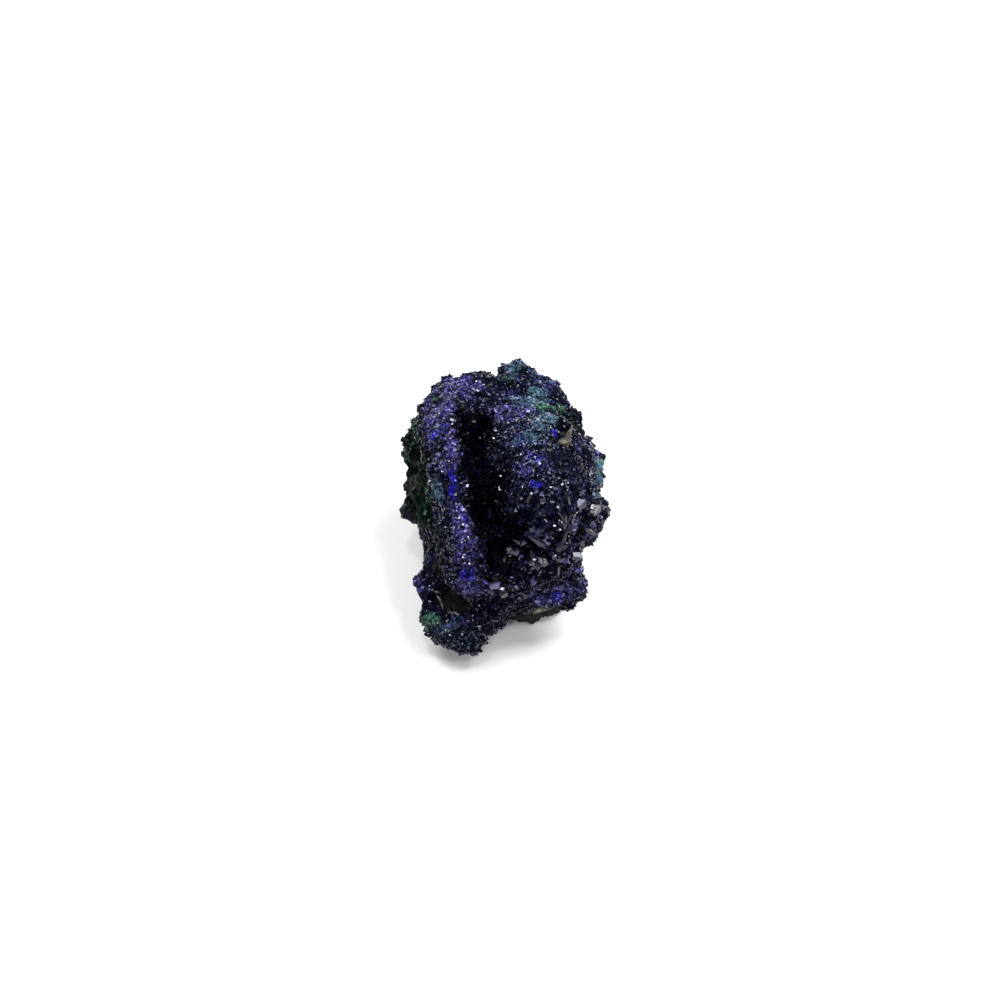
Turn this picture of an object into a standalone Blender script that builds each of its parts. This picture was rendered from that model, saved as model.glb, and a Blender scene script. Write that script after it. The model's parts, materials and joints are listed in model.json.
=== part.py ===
"""An azurite specimen: a lump of intergrown azurite crystals on a foot of iron-stained host rock.

Blender 4.5, metres, +Z up. The origin is the middle of the footprint, on the surface that the specimen
rests on. X runs across it, Y along its length and Z up.

The azurite mass has a long ridge and a higher dome with a deep cleft between them, a blunt nub below the
ridge's front end, and blocky crystals with flat faces grown together with it. A crust of crystals lines
the cleft. Shapes are worked out in millimetres and brought to metres once, at the end.
"""

import math
import random
from typing import NamedTuple

import bmesh
import bpy
from mathutils import Matrix, Vector, noise
from mathutils.bvhtree import BVHTree

MM = 0.001  # one millimetre, in metres
GAP = 0.3  # between two solids that touch
CRUST_WALL = 0.4  # thickness of the cleft's lining
VOXEL = 0.22  # grid on which lumps fuse into one skin
BODY_TRIANGLES = 3400
CLEFT_TRIANGLES = 340
ROCK_TRIANGLES = 640
BODY_ROUGHNESS = ((2.5, 0.8), (1.2, 0.5))  # spacing and depth of each layer of lumpiness
ROCK_ROUGHNESS = ((1.9, 0.6), (0.9, 0.25))


class Lump(NamedTuple):
    """One rounded mass or hollow, as an ellipsoid."""

    name: str
    centre: tuple
    radii: tuple


class Crystal(NamedTuple):
    """One crystal that stands out by its size: where it grows, which way it points, and its size."""

    name: str
    root: tuple
    lean: tuple
    size: tuple  # width, thickness and height above the skin
    turn: float  # degrees about its own length


class Druse(NamedTuple):
    """A patch of crystals that share a size and a direction."""

    name: str
    centre: tuple
    spread: tuple
    count: int
    width: tuple  # smallest and largest
    lean: tuple


# The masses that fuse into the azurite.
LUMPS = (
    Lump("core", (0.2, 1.3, 5.2), (5.0, 7.2, 4.8)),
    Lump("base", (0.0, 1.4, 2.9), (4.5, 6.0, 2.7)),
    Lump("dome", (2.2, 0.6, 7.4), (3.2, 4.7, 4.0)),
    Lump("dome_front", (1.8, -2.9, 5.5), (3.1, 2.4, 3.0)),
    Lump("ridge_back", (-3.0, 6.2, 6.9), (2.3, 2.6, 2.3)),
    Lump("ridge_high", (-3.2, 3.3, 8.0), (2.1, 2.8, 2.4)),
    Lump("ridge_middle", (-3.1, 0.2, 8.0), (1.8, 2.6, 2.3)),
    Lump("ridge_low", (-2.6, -2.6, 6.8), (1.7, 2.2, 2.2)),
    Lump("ridge_end", (-2.0, -4.3, 5.1), (1.8, 1.7, 1.8)),
    Lump("back_left", (-1.5, 7.0, 6.5), (2.8, 2.4, 2.2)),
    Lump("back_heel", (0.3, 6.8, 3.6), (3.6, 2.4, 2.6)),
    Lump("peak", (0.6, 9.1, 7.1), (1.3, 1.3, 1.2)),
    Lump("peak_slope", (1.85, 8.1, 7.1), (1.35, 1.15, 1.15)),
    Lump("back_right", (2.2, 7.0, 6.6), (1.9, 1.7, 1.75)),
    Lump("right_step", (3.6, 5.7, 6.65), (1.25, 1.25, 1.35)),
    Lump("right_slope", (4.35, 4.3, 6.35), (1.15, 1.35, 1.3)),
    Lump("right_shoulder", (4.9, 3.0, 5.85), (1.15, 1.6, 1.4)),
    Lump("right_waist", (4.75, 1.3, 6.1), (1.2, 1.3, 1.2)),
    Lump("right_cheek", (4.9, -0.55, 5.95), (1.5, 1.8, 1.85)),
    Lump("right_wall", (3.9, 1.2, 4.6), (1.6, 4.2, 2.9)),
    Lump("right_corner", (3.9, -4.0, 3.8), (1.05, 1.1, 1.2)),
    Lump("right_lip", (3.3, -4.45, 2.9), (1.6, 1.0, 1.0)),
    Lump("middle_lip", (1.2, -4.7, 2.9), (1.8, 1.0, 0.9)),
    Lump("lip_root", (0.6, -4.3, 3.6), (2.2, 1.2, 1.4)),
    Lump("nub_root", (-0.9, -5.5, 2.2), (1.4, 1.1, 1.2)),
    Lump("nub", (-2.6, -6.15, 1.8), (1.85, 1.4, 1.4)),
    Lump("nub_heel", (-2.1, -6.95, 1.35), (1.2, 1.15, 0.8)),
    Lump("nub_tip", (-4.3, -5.65, 1.9), (1.3, 1.1, 0.95)),
    Lump("left_knee", (-4.75, -3.6, 3.0), (1.0, 0.9, 0.8)),
    Lump("left_foot", (-3.7, -2.3, 3.0), (1.3, 2.2, 1.9)),
    Lump("left_wall", (-4.3, 2.6, 4.5), (1.6, 4.2, 3.0)),
    Lump("left_shoulder", (-4.1, 5.2, 6.4), (1.92, 2.2, 2.05)),
    Lump("left_boss", (-5.2, 4.5, 6.2), (1.25, 1.4, 1.35)),
    Lump("left_elbow", (-5.05, 1.65, 4.1), (1.15, 1.55, 1.35)),
    Lump("left_skirt", (-4.1, 0.4, 1.9), (1.0, 2.4, 1.6)),
    Lump("back_skirt", (1.8, 7.2, 1.9), (2.2, 1.3, 1.6)),
    Lump("right_skirt", (4.5, 2.2, 2.4), (0.9, 2.0, 1.7)),
)

# Hollows with walls of plain azurite.
HOLLOWS = (
    Lump("recess", (-3.6, -5.2, 3.7), (1.5, 1.2, 0.55)),
    Lump("notch", (3.7, 3.0, 9.9), (0.45, 0.9, 1.2)),
    Lump("notch_tail", (4.3, 1.3, 9.6), (0.3, 1.1, 0.7)),
    Lump("pit_high", (3.45, -4.9, 6.8), (0.5, 0.6, 0.5)),
    Lump("pit_low", (2.8, -5.3, 5.9), (0.6, 0.5, 0.45)),
    Lump("ridge_foot", (-4.8, -1.3, 6.0), (0.35, 1.5, 0.45)),
    Lump("left_dent", (-5.75, 2.8, 6.05), (0.5, 0.45, 0.65)),
    Lump("back_dent", (1.9, 8.6, 5.3), (0.8, 0.8, 1.0)),
)

# The cleft between the ridge and the dome, which a crust of crystals lines.
CLEFT = (
    Lump("mouth", (-1.8, 3.4, 9.8), (0.95, 1.6, 2.9)),
    Lump("throat", (-1.8, 1.0, 9.8), (0.65, 1.9, 2.9)),
    Lump("belly", (-1.1, -1.6, 9.2), (0.85, 1.9, 3.0)),
    Lump("pocket", (0.4, -3.5, 7.8), (0.75, 0.65, 1.6)),
    Lump("tail", (-0.5, -3.9, 7.4), (0.55, 1.5, 2.6)),
)

# The host rock under the azurite.
ROCK = (
    Lump("bed", (0.2, 1.2, 0.9), (4.0, 5.4, 1.4)),
    Lump("front", (0.9, -3.5, 0.6), (2.9, 1.0, 1.4)),
    Lump("front_left", (-3.0, -3.4, 1.2), (1.7, 1.1, 1.7)),
    Lump("front_right", (3.2, -0.6, 0.9), (1.4, 2.2, 1.6)),
    Lump("back_left", (-3.4, 4.2, 1.0), (1.3, 1.8, 1.9)),
    Lump("back", (-0.9, 6.2, 0.9), (2.0, 1.9, 1.7)),
)

# Crystals that stand out by their size.
NAMED = (
    Crystal("pair_left", (-0.5, -5.25, 5.5), (-0.2, -0.5, 0.85), (0.8, 0.65, 0.75), 35),
    Crystal("pair_right", (-0.2, -5.55, 4.8), (0.1, -0.6, 0.8), (0.7, 0.6, 0.7), 30),
    Crystal("long_blade", (1.85, -3.8, 8.2), (0.1, -0.65, 0.75), (1.9, 0.7, 0.8), -41),
    Crystal("pale_lath", (3.55, -3.45, 9.2), (0.1, -0.5, 0.85), (1.8, 0.55, 0.7), 62),
    Crystal("wedge", (1.3, -4.0, 8.1), (-0.1, -0.7, 0.7), (0.8, 0.6, 0.7), 70),
    Crystal("front_slab", (0.6, -4.6, 7.6), (-0.1, -0.7, 0.7), (1.0, 0.65, 0.8), 5),
    Crystal("bright_facet", (1.7, -4.8, 7.2), (0.0, -0.6, 0.8), (0.8, 0.6, 0.6), 30),
    Crystal("pale_cluster", (3.4, -3.9, 7.3), (0.1, -0.65, 0.75), (1.0, 0.7, 0.7), 30),
    Crystal("cheek_top", (5.4, -1.35, 7.7), (0.4, -0.5, 0.7), (1.1, 0.8, 0.8), 10),
    Crystal("cheek_fan", (4.9, -2.6, 7.2), (0.4, -0.65, 0.6), (1.3, 0.7, 0.9), -60),
    Crystal("shoulder_block", (4.4, -1.8, 9.0), (0.3, -0.35, 0.9), (0.9, 0.7, 0.6), 10),
    Crystal("teal_block", (5.5, -0.6, 7.9), (0.4, -0.4, 0.8), (0.8, 0.6, 0.5), 0),
    Crystal("edge_block", (4.3, -4.5, 7.0), (0.4, -0.7, 0.6), (0.9, 0.7, 0.7), -30),
    Crystal("shard", (3.6, 1.6, 10.8), (-0.2, -0.6, 0.8), (1.2, 0.5, 0.5), 68),
)

# Patches of smaller crystals, on the mass and on the cleft's lining.
DRUSES = (
    Druse("dome_front", (2.4, -4.4, 7.2), (2.0, 0.9, 1.2), 15, (0.8, 1.25), (0.0, -0.6, 0.5)),
    Druse("dome_middle", (2.6, -3.0, 9.4), (1.9, 0.9, 0.8), 13, (0.75, 1.15), (0.1, -0.4, 0.6)),
    Druse("dome_shoulder", (2.2, -1.2, 10.9), (1.9, 0.9, 0.6), 9, (0.65, 0.95), (0.1, -0.3, 0.6)),
    Druse("dome_top", (1.6, 1.4, 11.4), (1.8, 1.6, 0.5), 8, (0.55, 0.8), (0.0, 0.0, 0.8)),
    Druse("cheek", (5.1, -0.8, 7.8), (0.6, 1.3, 0.8), 8, (0.7, 1.0), (0.1, -0.2, 0.7)),
    Druse("lip", (3.0, -5.0, 3.7), (1.7, 0.5, 0.6), 9, (0.5, 0.8), (0.0, -0.8, 0.3)),
    Druse("ridge", (-2.6, -3.4, 8.0), (0.8, 2.0, 0.8), 7, (0.5, 0.75), (0.0, -0.2, 0.8)),
    Druse("nub", (-2.6, -7.0, 2.6), (1.6, 0.5, 0.7), 9, (0.5, 0.75), (0.0, -0.6, 0.4)),
    Druse("back", (0.4, 9.6, 5.4), (2.8, 0.8, 1.6), 7, (0.7, 1.1), (0.0, 0.7, 0.2)),
    Druse("left", (-6.0, 1.0, 5.2), (0.6, 3.0, 1.6), 5, (0.6, 0.9), (-0.6, 0.0, 0.3)),
)
CLEFT_DRUSES = (
    Druse("mouth_walls", (-1.8, 2.6, 10.0), (1.2, 2.4, 0.9), 10, (0.4, 0.65), (0.0, 0.0, 0.8)),
    Druse("belly_walls", (-0.9, -2.4, 8.4), (1.4, 2.2, 0.9), 10, (0.4, 0.7), (0.0, 0.0, 0.8)),
)


def clear_scene():
    """Remove whatever the scene holds."""
    for item in list(bpy.data.objects):
        bpy.data.objects.remove(item, do_unlink=True)


def add_object(name, mesh):
    """Link a mesh into the scene under a name."""
    mesh.name = name
    item = bpy.data.objects.new(name, mesh)
    bpy.context.scene.collection.objects.link(item)
    return item


def lump_cloud(name, lumps, grow=0.0):
    """All the lumps as one object of separate ellipsoids, each grown by the same amount."""
    shape = bmesh.new()
    for lump in lumps:
        made = bmesh.ops.create_icosphere(shape, subdivisions=4, radius=1.0)
        radii = [radius + grow for radius in lump.radii]
        place = Matrix.Translation(lump.centre) @ Matrix.Diagonal((*radii, 1.0))
        bmesh.ops.transform(shape, matrix=place, verts=made["verts"])
    mesh = bpy.data.meshes.new(name)
    shape.to_mesh(mesh)
    shape.free()
    return add_object(name, mesh)


def bake(item):
    """Turn an object's modifiers into its plain mesh."""
    bpy.context.view_layer.update()
    seen = item.evaluated_get(bpy.context.evaluated_depsgraph_get())
    mesh = bpy.data.meshes.new_from_object(seen)
    item.modifiers.clear()
    old = item.data
    item.data = mesh
    bpy.data.meshes.remove(old)
    mesh.name = item.name
    return item


def melt(item):
    """Melt whatever an object holds into one skin on the voxel grid."""
    step = item.modifiers.new("melt", "REMESH")
    step.mode = "VOXEL"
    step.voxel_size = VOXEL
    return bake(item)


def fused(name, lumps, grow=0.0):
    """Lumps melted into one skin."""
    return melt(lump_cloud(name, lumps, grow))


def cut(item, tool, operation, keep_tool=False):
    """Join, cut or keep the overlap of two solids, exactly."""
    step = item.modifiers.new(operation.lower(), "BOOLEAN")
    step.operation = operation
    step.object = tool
    step.use_self = operation == "UNION"
    bake(item)
    if not keep_tool:
        bpy.data.objects.remove(tool, do_unlink=True)
    return item


def thin_out(item, triangles):
    """Reduce a skin to about the given number of triangles."""
    count = sum(len(face.vertices) - 2 for face in item.data.polygons)
    if count <= triangles:
        return item
    step = item.modifiers.new("thin", "DECIMATE")
    step.ratio = triangles / count
    step.use_collapse_triangulate = True
    return bake(item)


def keep_largest(item):
    """Drop every loose crumb and keep the one large solid."""
    shape = bmesh.new()
    shape.from_mesh(item.data)
    left = set(shape.verts)
    islands = []
    while left:
        island = {left.pop()}
        front = list(island)
        while front:
            near = {edge.other_vert(vert) for vert in front for edge in vert.link_edges} - island
            island |= near
            left -= near
            front = list(near)
        islands.append(island)
    largest = max(islands, key=len)
    crumbs = [vert for vert in shape.verts if vert not in largest]
    bmesh.ops.delete(shape, geom=crumbs, context="VERTS")
    shape.to_mesh(item.data)
    shape.free()
    return item


def roughen(item, layers, seed):
    """Push a skin in and out along its normals, by layers of (spacing, depth) noise."""
    mesh = item.data
    shift = Vector((seed * 3.1, seed * 1.7, seed * 2.3))
    moved = []
    for vertex in mesh.vertices:
        depth = 0.0
        for spacing, amount in layers:
            where = vertex.co / spacing + shift
            near, next_near = noise.voronoi(where)[0][:2]
            depth += amount * (min(next_near - near, 0.8) - 0.3)
        moved.append(vertex.co + vertex.normal * depth)
    for vertex, place in zip(mesh.vertices, moved):
        vertex.co = place
    mesh.update()
    return item


def crystal_corners(size, foot, chance):
    """Corners of a blocky crystal: a five-sided prism, its foot buried, under a slanted chisel edge."""
    width, thick, tall = size
    outline = ((0.5, 0.1), (0.12, 0.5), (-0.46, 0.3), (-0.42, -0.32), (0.22, -0.5))
    slope = chance.uniform(0.12, 0.3)
    corners = []
    for x, y in outline:
        wobble = chance.uniform(0.92, 1.08)
        across = Vector((x * width * wobble, y * thick * wobble, 0.0))
        shoulder = tall * (0.62 + slope * x - 0.35 * abs(y))
        corners.append(across + Vector((0.0, 0.0, -foot)))
        corners.append(across + Vector((0.0, 0.0, shoulder)))
    corners.append(Vector((0.3 * width, 0.03 * thick, tall * (1.0 + 0.5 * slope))))
    corners.append(Vector((-0.26 * width, -0.03 * thick, tall * (1.0 - 0.5 * slope))))
    return corners


def add_crystal(shape, corners):
    """Add the convex solid of some corners to a mesh being built."""
    verts = [shape.verts.new(corner) for corner in corners]
    hull = bmesh.ops.convex_hull(shape, input=verts, use_existing_faces=False)
    spare = [item for item in hull["geom_interior"] if isinstance(item, bmesh.types.BMVert)]
    bmesh.ops.delete(shape, geom=spare, context="VERTS")


def standing(root, lean, turn):
    """A frame at the root, with its Z along the lean and turned about it by some degrees."""
    frame = Vector(lean).normalized().to_track_quat("Z", "Y").to_matrix().to_4x4()
    return Matrix.Translation(root) @ frame @ Matrix.Rotation(math.radians(turn), 4, "Z")


def skin_tree(item):
    """A search tree over an object's skin."""
    return BVHTree.FromPolygons([v.co for v in item.data.vertices], [f.vertices for f in item.data.polygons])


def depth_inside(tree, point):
    """How far a point lies inside a closed skin, below zero when it is outside."""
    near, normal, _, _ = tree.find_nearest(point)
    return (near - point).dot(normal)


def is_clear(corners, rooms):
    """Whether every corner stands above the ground and outside the rooms kept for other pieces."""
    if min(corner.z for corner in corners) < 0.15:
        return False
    return all(depth_inside(room, corner) < -0.05 for room in rooms for corner in corners)


def named_corners(crystal, skin, chance):
    """Corners of a crystal that is placed by name."""
    root, normal, _, _ = skin.find_nearest(Vector(crystal.root))
    lean = Vector(crystal.lean).normalized() * 0.75 + normal * 0.25
    place = standing(root, lean, crystal.turn)
    return [place @ corner for corner in crystal_corners(crystal.size, 0.5, chance)]


def druse_corners(druse, skin, foot, chance):
    """Corners of one crystal of a patch, somewhere on the skin near the patch's centre."""
    spread = [chance.uniform(-reach, reach) for reach in druse.spread]
    root, normal, _, _ = skin.find_nearest(Vector(druse.centre) + Vector(spread))
    jitter = Vector([chance.uniform(-0.45, 0.45) for _ in range(3)])
    lean = normal * 0.75 + Vector(druse.lean) * 0.35 + jitter
    width = chance.uniform(*druse.width)
    size = (width, width * chance.uniform(0.5, 0.8), width * chance.uniform(0.5, 0.85))
    place = standing(root, lean, chance.uniform(0.0, 360.0))
    return [place @ corner for corner in crystal_corners(size, foot, chance)]


def mesh_object(name, shape):
    """Turn a mesh being built into an object, its faces turned outward."""
    bmesh.ops.recalc_face_normals(shape, faces=shape.faces[:])
    mesh = bpy.data.meshes.new(name)
    shape.to_mesh(mesh)
    shape.free()
    return add_object(name, mesh)


def mass_crystals(skin, rooms):
    """The crystals that stand on the azurite mass, clear of the rooms of its neighbours."""
    chance = random.Random(7)
    shape = bmesh.new()
    for crystal in NAMED:
        corners = named_corners(crystal, skin, chance)
        if is_clear(corners, rooms):
            add_crystal(shape, corners)
    for druse in DRUSES:
        for _ in range(druse.count):
            corners = druse_corners(druse, skin, 0.45, chance)
            if is_clear(corners, rooms):
                add_crystal(shape, corners)
    return mesh_object("crystals", shape)


def crust_crystals(skin, outside):
    """The crystals on the cleft's lining, none of which breaks through its outer side."""
    chance = random.Random(3)
    shape = bmesh.new()
    for druse in CLEFT_DRUSES:
        for _ in range(druse.count):
            corners = druse_corners(druse, skin, 0.2, chance)
            if min(depth_inside(outside, corner) for corner in corners) > 0.02:
                add_crystal(shape, corners)
    return mesh_object("lining_crystals", shape)


def make_body():
    """The whole lump before it is parted: lumps and hollows with a rough skin."""
    body = fused("body", LUMPS)
    cut(body, fused("hollows", HOLLOWS), "DIFFERENCE")
    melt(roughen(body, BODY_ROUGHNESS, 1))
    return keep_largest(thin_out(body, BODY_TRIANGLES))


def cleft_skin(name, grow):
    """The cleft's space, grown by some millimetres."""
    return thin_out(fused(name, CLEFT, grow), CLEFT_TRIANGLES)


def rock_skin(name, grow):
    """The host rock's own space, grown by some millimetres."""
    rock = roughen(fused(name, ROCK, grow), ROCK_ROUGHNESS, 5)
    return thin_out(rock, ROCK_TRIANGLES)


def make_mass(body):
    """The azurite mass: the body without its neighbours' room, with crystals grown on."""
    mass = body
    mass.name = "azurite_mass"
    cleft_room = cleft_skin("cleft_room", CRUST_WALL + GAP)
    rock_room = rock_skin("rock_room", GAP + 0.1)
    rooms = [skin_tree(cleft_room), skin_tree(rock_room)]
    cut(mass, cleft_room, "DIFFERENCE")
    cut(mass, rock_room, "DIFFERENCE")
    keep_largest(mass)
    return cut(mass, mass_crystals(skin_tree(mass), rooms), "UNION")


def make_crust(body):
    """The cleft's lining: a bowl of crystals that follows the cleft, open where the cleft is open."""
    crust = cleft_skin("cleft_crystals", CRUST_WALL)
    outside = skin_tree(crust)
    cut(crust, cleft_skin("cleft_space", 0.0), "DIFFERENCE")
    cut(crust, body, "INTERSECT", keep_tool=True)
    keep_largest(crust)
    return cut(crust, crust_crystals(skin_tree(crust), outside), "UNION")


def make_rock():
    """The host rock, cut off flat where it rests."""
    return cut(rock_skin("limonite_matrix", 0.0), ground_block(), "DIFFERENCE")


def ground_block():
    """Everything below the resting surface."""
    shape = bmesh.new()
    bmesh.ops.create_cube(shape, size=40.0, matrix=Matrix.Translation((0.0, 0.0, -20.0)))
    mesh = bpy.data.meshes.new("ground")
    shape.to_mesh(mesh)
    shape.free()
    return add_object("ground", mesh)


def footprint_middle(items):
    """The middle of the pieces' shared bounding box, on the resting surface."""
    places = [vertex.co for item in items for vertex in item.data.vertices]
    middle = [(min(p[axis] for p in places) + max(p[axis] for p in places)) / 2 for axis in (0, 1)]
    return Vector((*middle, 0.0))


def finish(item, middle, colour, roughness):
    """Clean a solid's mesh, set its origin, bring it to metres and give it its material."""
    shape = bmesh.new()
    shape.from_mesh(item.data)
    bmesh.ops.triangulate(shape, faces=shape.faces[:])
    bmesh.ops.dissolve_degenerate(shape, dist=0.0001, edges=shape.edges[:])
    bmesh.ops.translate(shape, vec=-middle, verts=shape.verts[:])
    bmesh.ops.scale(shape, vec=(MM, MM, MM), verts=shape.verts[:])
    bmesh.ops.recalc_face_normals(shape, faces=shape.faces[:])
    shape.to_mesh(item.data)
    shape.free()
    material = bpy.data.materials.new(item.name)
    material.use_nodes = True
    surface = material.node_tree.nodes["Principled BSDF"].inputs
    surface["Base Color"].default_value = (*colour, 1.0)
    surface["Roughness"].default_value = roughness
    surface["Metallic"].default_value = 0.0
    item.data.materials.clear()
    item.data.materials.append(material)


def build():
    """Make the specimen."""
    clear_scene()
    rock = make_rock()
    body = make_body()
    crust = make_crust(body)
    mass = make_mass(body)
    middle = footprint_middle((mass, crust, rock))
    finish(mass, middle, (0.045, 0.045, 0.14), 0.3)
    finish(crust, middle, (0.02, 0.02, 0.06), 0.25)
    finish(rock, middle, (0.3, 0.24, 0.16), 0.9)


build()
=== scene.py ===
"""The look of an azurite specimen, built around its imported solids.

Near-black azurite crystals cover a lump with a ridge, a dome and a cleft. Violet and ultramarine zones
lie on the ridge, a teal haze and malachite green on the dome's back, dark green on the left flank, and
tan limonite rock shows under the front edge. Shapes are worked out in millimetres and brought to metres
once, when a piece is finished.
"""

from __future__ import annotations

import json
import logging
import math
from dataclasses import dataclass, field, replace
from enum import Enum

import bmesh
import bpy
import numpy as np
from mathutils import Matrix, Vector, noise
from mathutils.bvhtree import BVHTree

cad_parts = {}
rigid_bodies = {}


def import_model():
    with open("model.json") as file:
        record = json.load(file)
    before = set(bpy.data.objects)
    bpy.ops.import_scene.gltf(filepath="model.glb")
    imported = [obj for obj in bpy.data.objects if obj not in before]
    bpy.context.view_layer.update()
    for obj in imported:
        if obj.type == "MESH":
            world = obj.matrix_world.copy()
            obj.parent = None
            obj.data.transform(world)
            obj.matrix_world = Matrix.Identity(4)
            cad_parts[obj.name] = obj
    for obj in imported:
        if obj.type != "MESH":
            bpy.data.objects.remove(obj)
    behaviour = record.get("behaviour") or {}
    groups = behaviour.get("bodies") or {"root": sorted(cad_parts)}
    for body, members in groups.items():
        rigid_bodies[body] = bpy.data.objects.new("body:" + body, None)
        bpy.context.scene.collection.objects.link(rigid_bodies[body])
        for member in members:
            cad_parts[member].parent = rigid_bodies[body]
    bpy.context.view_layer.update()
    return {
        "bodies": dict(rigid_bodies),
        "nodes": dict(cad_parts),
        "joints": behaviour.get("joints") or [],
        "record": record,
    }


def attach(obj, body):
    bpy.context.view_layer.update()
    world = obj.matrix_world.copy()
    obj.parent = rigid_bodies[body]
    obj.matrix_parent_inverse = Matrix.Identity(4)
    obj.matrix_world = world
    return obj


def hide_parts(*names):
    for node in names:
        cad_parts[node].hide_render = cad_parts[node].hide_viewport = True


LOG = logging.getLogger("azurite_specimen")
MM = 0.001  # one millimetre, in metres
NOISE_SEED = 2  # fixes where the smooth noises start
PATCH_REACH = 1.35  # how far from its middle a patch ends, in radii
PATCH_FADE = 0.7  # how wide its soft edge is, in radii
CELL_CAP = 0.8  # how high a cell of the relief can get, before it is scaled
CELL_LEVEL = 0.3  # the height in a cell that lies at the surface's own level
CREST_REACH = 0.35  # how far from a noise's zero line its crest still shows
WAVER_STEPS = (7.3, 3.9, 5.1)  # how far apart two seeds start, in each kind of noise
RELIEF_STEPS = (3.1, 1.7, 2.3)
CREST_STEPS = (2.9, 4.1, 1.3)
MERGE_DISTANCE = 1e-7  # how near corners of loose triangles are one corner, in metres
Triple = tuple[float, float, float]


def eased(share: np.ndarray) -> np.ndarray:
    """Clip shares to 0 and 1 and ease them in and out."""
    kept = np.clip(share, 0.0, 1.0)
    return kept * kept * (3.0 - 2.0 * kept)


class Tone(Enum):
    """A colour that the minerals take in places, as its channel among the two tone attributes."""

    VIOLET = 0
    ULTRAMARINE = 1
    TEAL = 2
    MALACHITE = 3
    MOSS = 4
    OCHRE = 5


@dataclass(frozen=True)
class Patch:
    """A soft-edged patch on the specimen, as an ellipsoid in millimetres.

    Args:
        centre: Its middle.
        radii: Its reach along X, Y and Z.
        amount: What it adds at its middle.
    """

    centre: Triple
    radii: Triple
    amount: float = 1.0

    def weights(self, places: np.ndarray) -> np.ndarray:
        """Give each place its share of the patch.

        Args:
            places: One row of X, Y and Z for each place.

        Returns:
            The patch's amount at each place, fading to 0 at its edge.
        """
        reach = np.linalg.norm((places - np.array(self.centre)) / np.array(self.radii), axis=1)
        return self.amount * eased((PATCH_REACH - reach) / PATCH_FADE)


def strongest(patches: tuple[Patch, ...], places: np.ndarray) -> np.ndarray:
    """Give each place its share of the patch that is strongest there."""
    return np.max([patch.weights(places) for patch in patches], axis=0, initial=0.0)


def noise_points(places: np.ndarray, spacing: float, steps: Triple, seed: int) -> list[Vector]:
    """Work out where in a noise the places fall.

    Args:
        places: One row of X, Y and Z for each place.
        spacing: The noise's grain.
        steps: How far one seed's start is from the next one's.
        seed: Which noise.

    Returns:
        One point of the noise for each place.
    """
    start = Vector([seed * step for step in steps])
    return [Vector(place) / spacing + start for place in places]


@dataclass(frozen=True)
class Waver:
    """Smooth noise that shifts places, so that patches drawn around them get ragged edges.

    Args:
        spacing: The noise's grain, in millimetres.
        depth: The largest shift, in millimetres.
        seed: Which noise.
    """

    spacing: float
    depth: float
    seed: int

    def shift(self, places: np.ndarray) -> np.ndarray:
        """Shift rows of X, Y and Z."""
        points = noise_points(places, self.spacing, WAVER_STEPS, self.seed)
        return places + self.depth * np.array([noise.noise_vector(point) for point in points])


@dataclass(frozen=True)
class Relief:
    """Layers of cell-like noise that raise a surface.

    Args:
        layers: The spacing and the depth of each layer, in millimetres.
        seed: Which noise.
    """

    layers: tuple[tuple[float, float], ...]
    seed: int

    def heights(self, places: np.ndarray) -> np.ndarray:
        """Work out how far each place is raised.

        Args:
            places: One row of X, Y and Z for each place.

        Returns:
            The height at each place, around 0.
        """
        heights = np.zeros(len(places))
        for spacing, depth in self.layers:
            for index, point in enumerate(noise_points(places, spacing, RELIEF_STEPS, self.seed)):
                near, next_near = noise.voronoi(point)[0][:2]
                heights[index] += depth * (min(next_near - near, CELL_CAP) - CELL_LEVEL)
        return heights


@dataclass(frozen=True)
class Crests:
    """Raised lines along the sharp crests of a smooth noise.

    Args:
        spacing: About how far apart the lines are, in millimetres.
        height: How far they stand over the ground between them, in millimetres.
        level: The share of that height that lies at the surface's own level.
        seed: Which noise.
    """

    spacing: float
    height: float
    level: float
    seed: int

    def nearness(self, places: np.ndarray) -> np.ndarray:
        """Work out how near each place is to a line.

        Args:
            places: One row of X, Y and Z for each place.

        Returns:
            1 on a line, falling to 0 between them.
        """
        points = noise_points(places, self.spacing, CREST_STEPS, self.seed)
        swings = np.array([abs(noise.noise(point)) for point in points])
        return eased(1.0 - swings / CREST_REACH)

    def heights(self, places: np.ndarray, bare: np.ndarray) -> np.ndarray:
        """Work out how far the lines raise each place, by how bare it is."""
        return self.height * bare * (self.nearness(places) - self.level)


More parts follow.
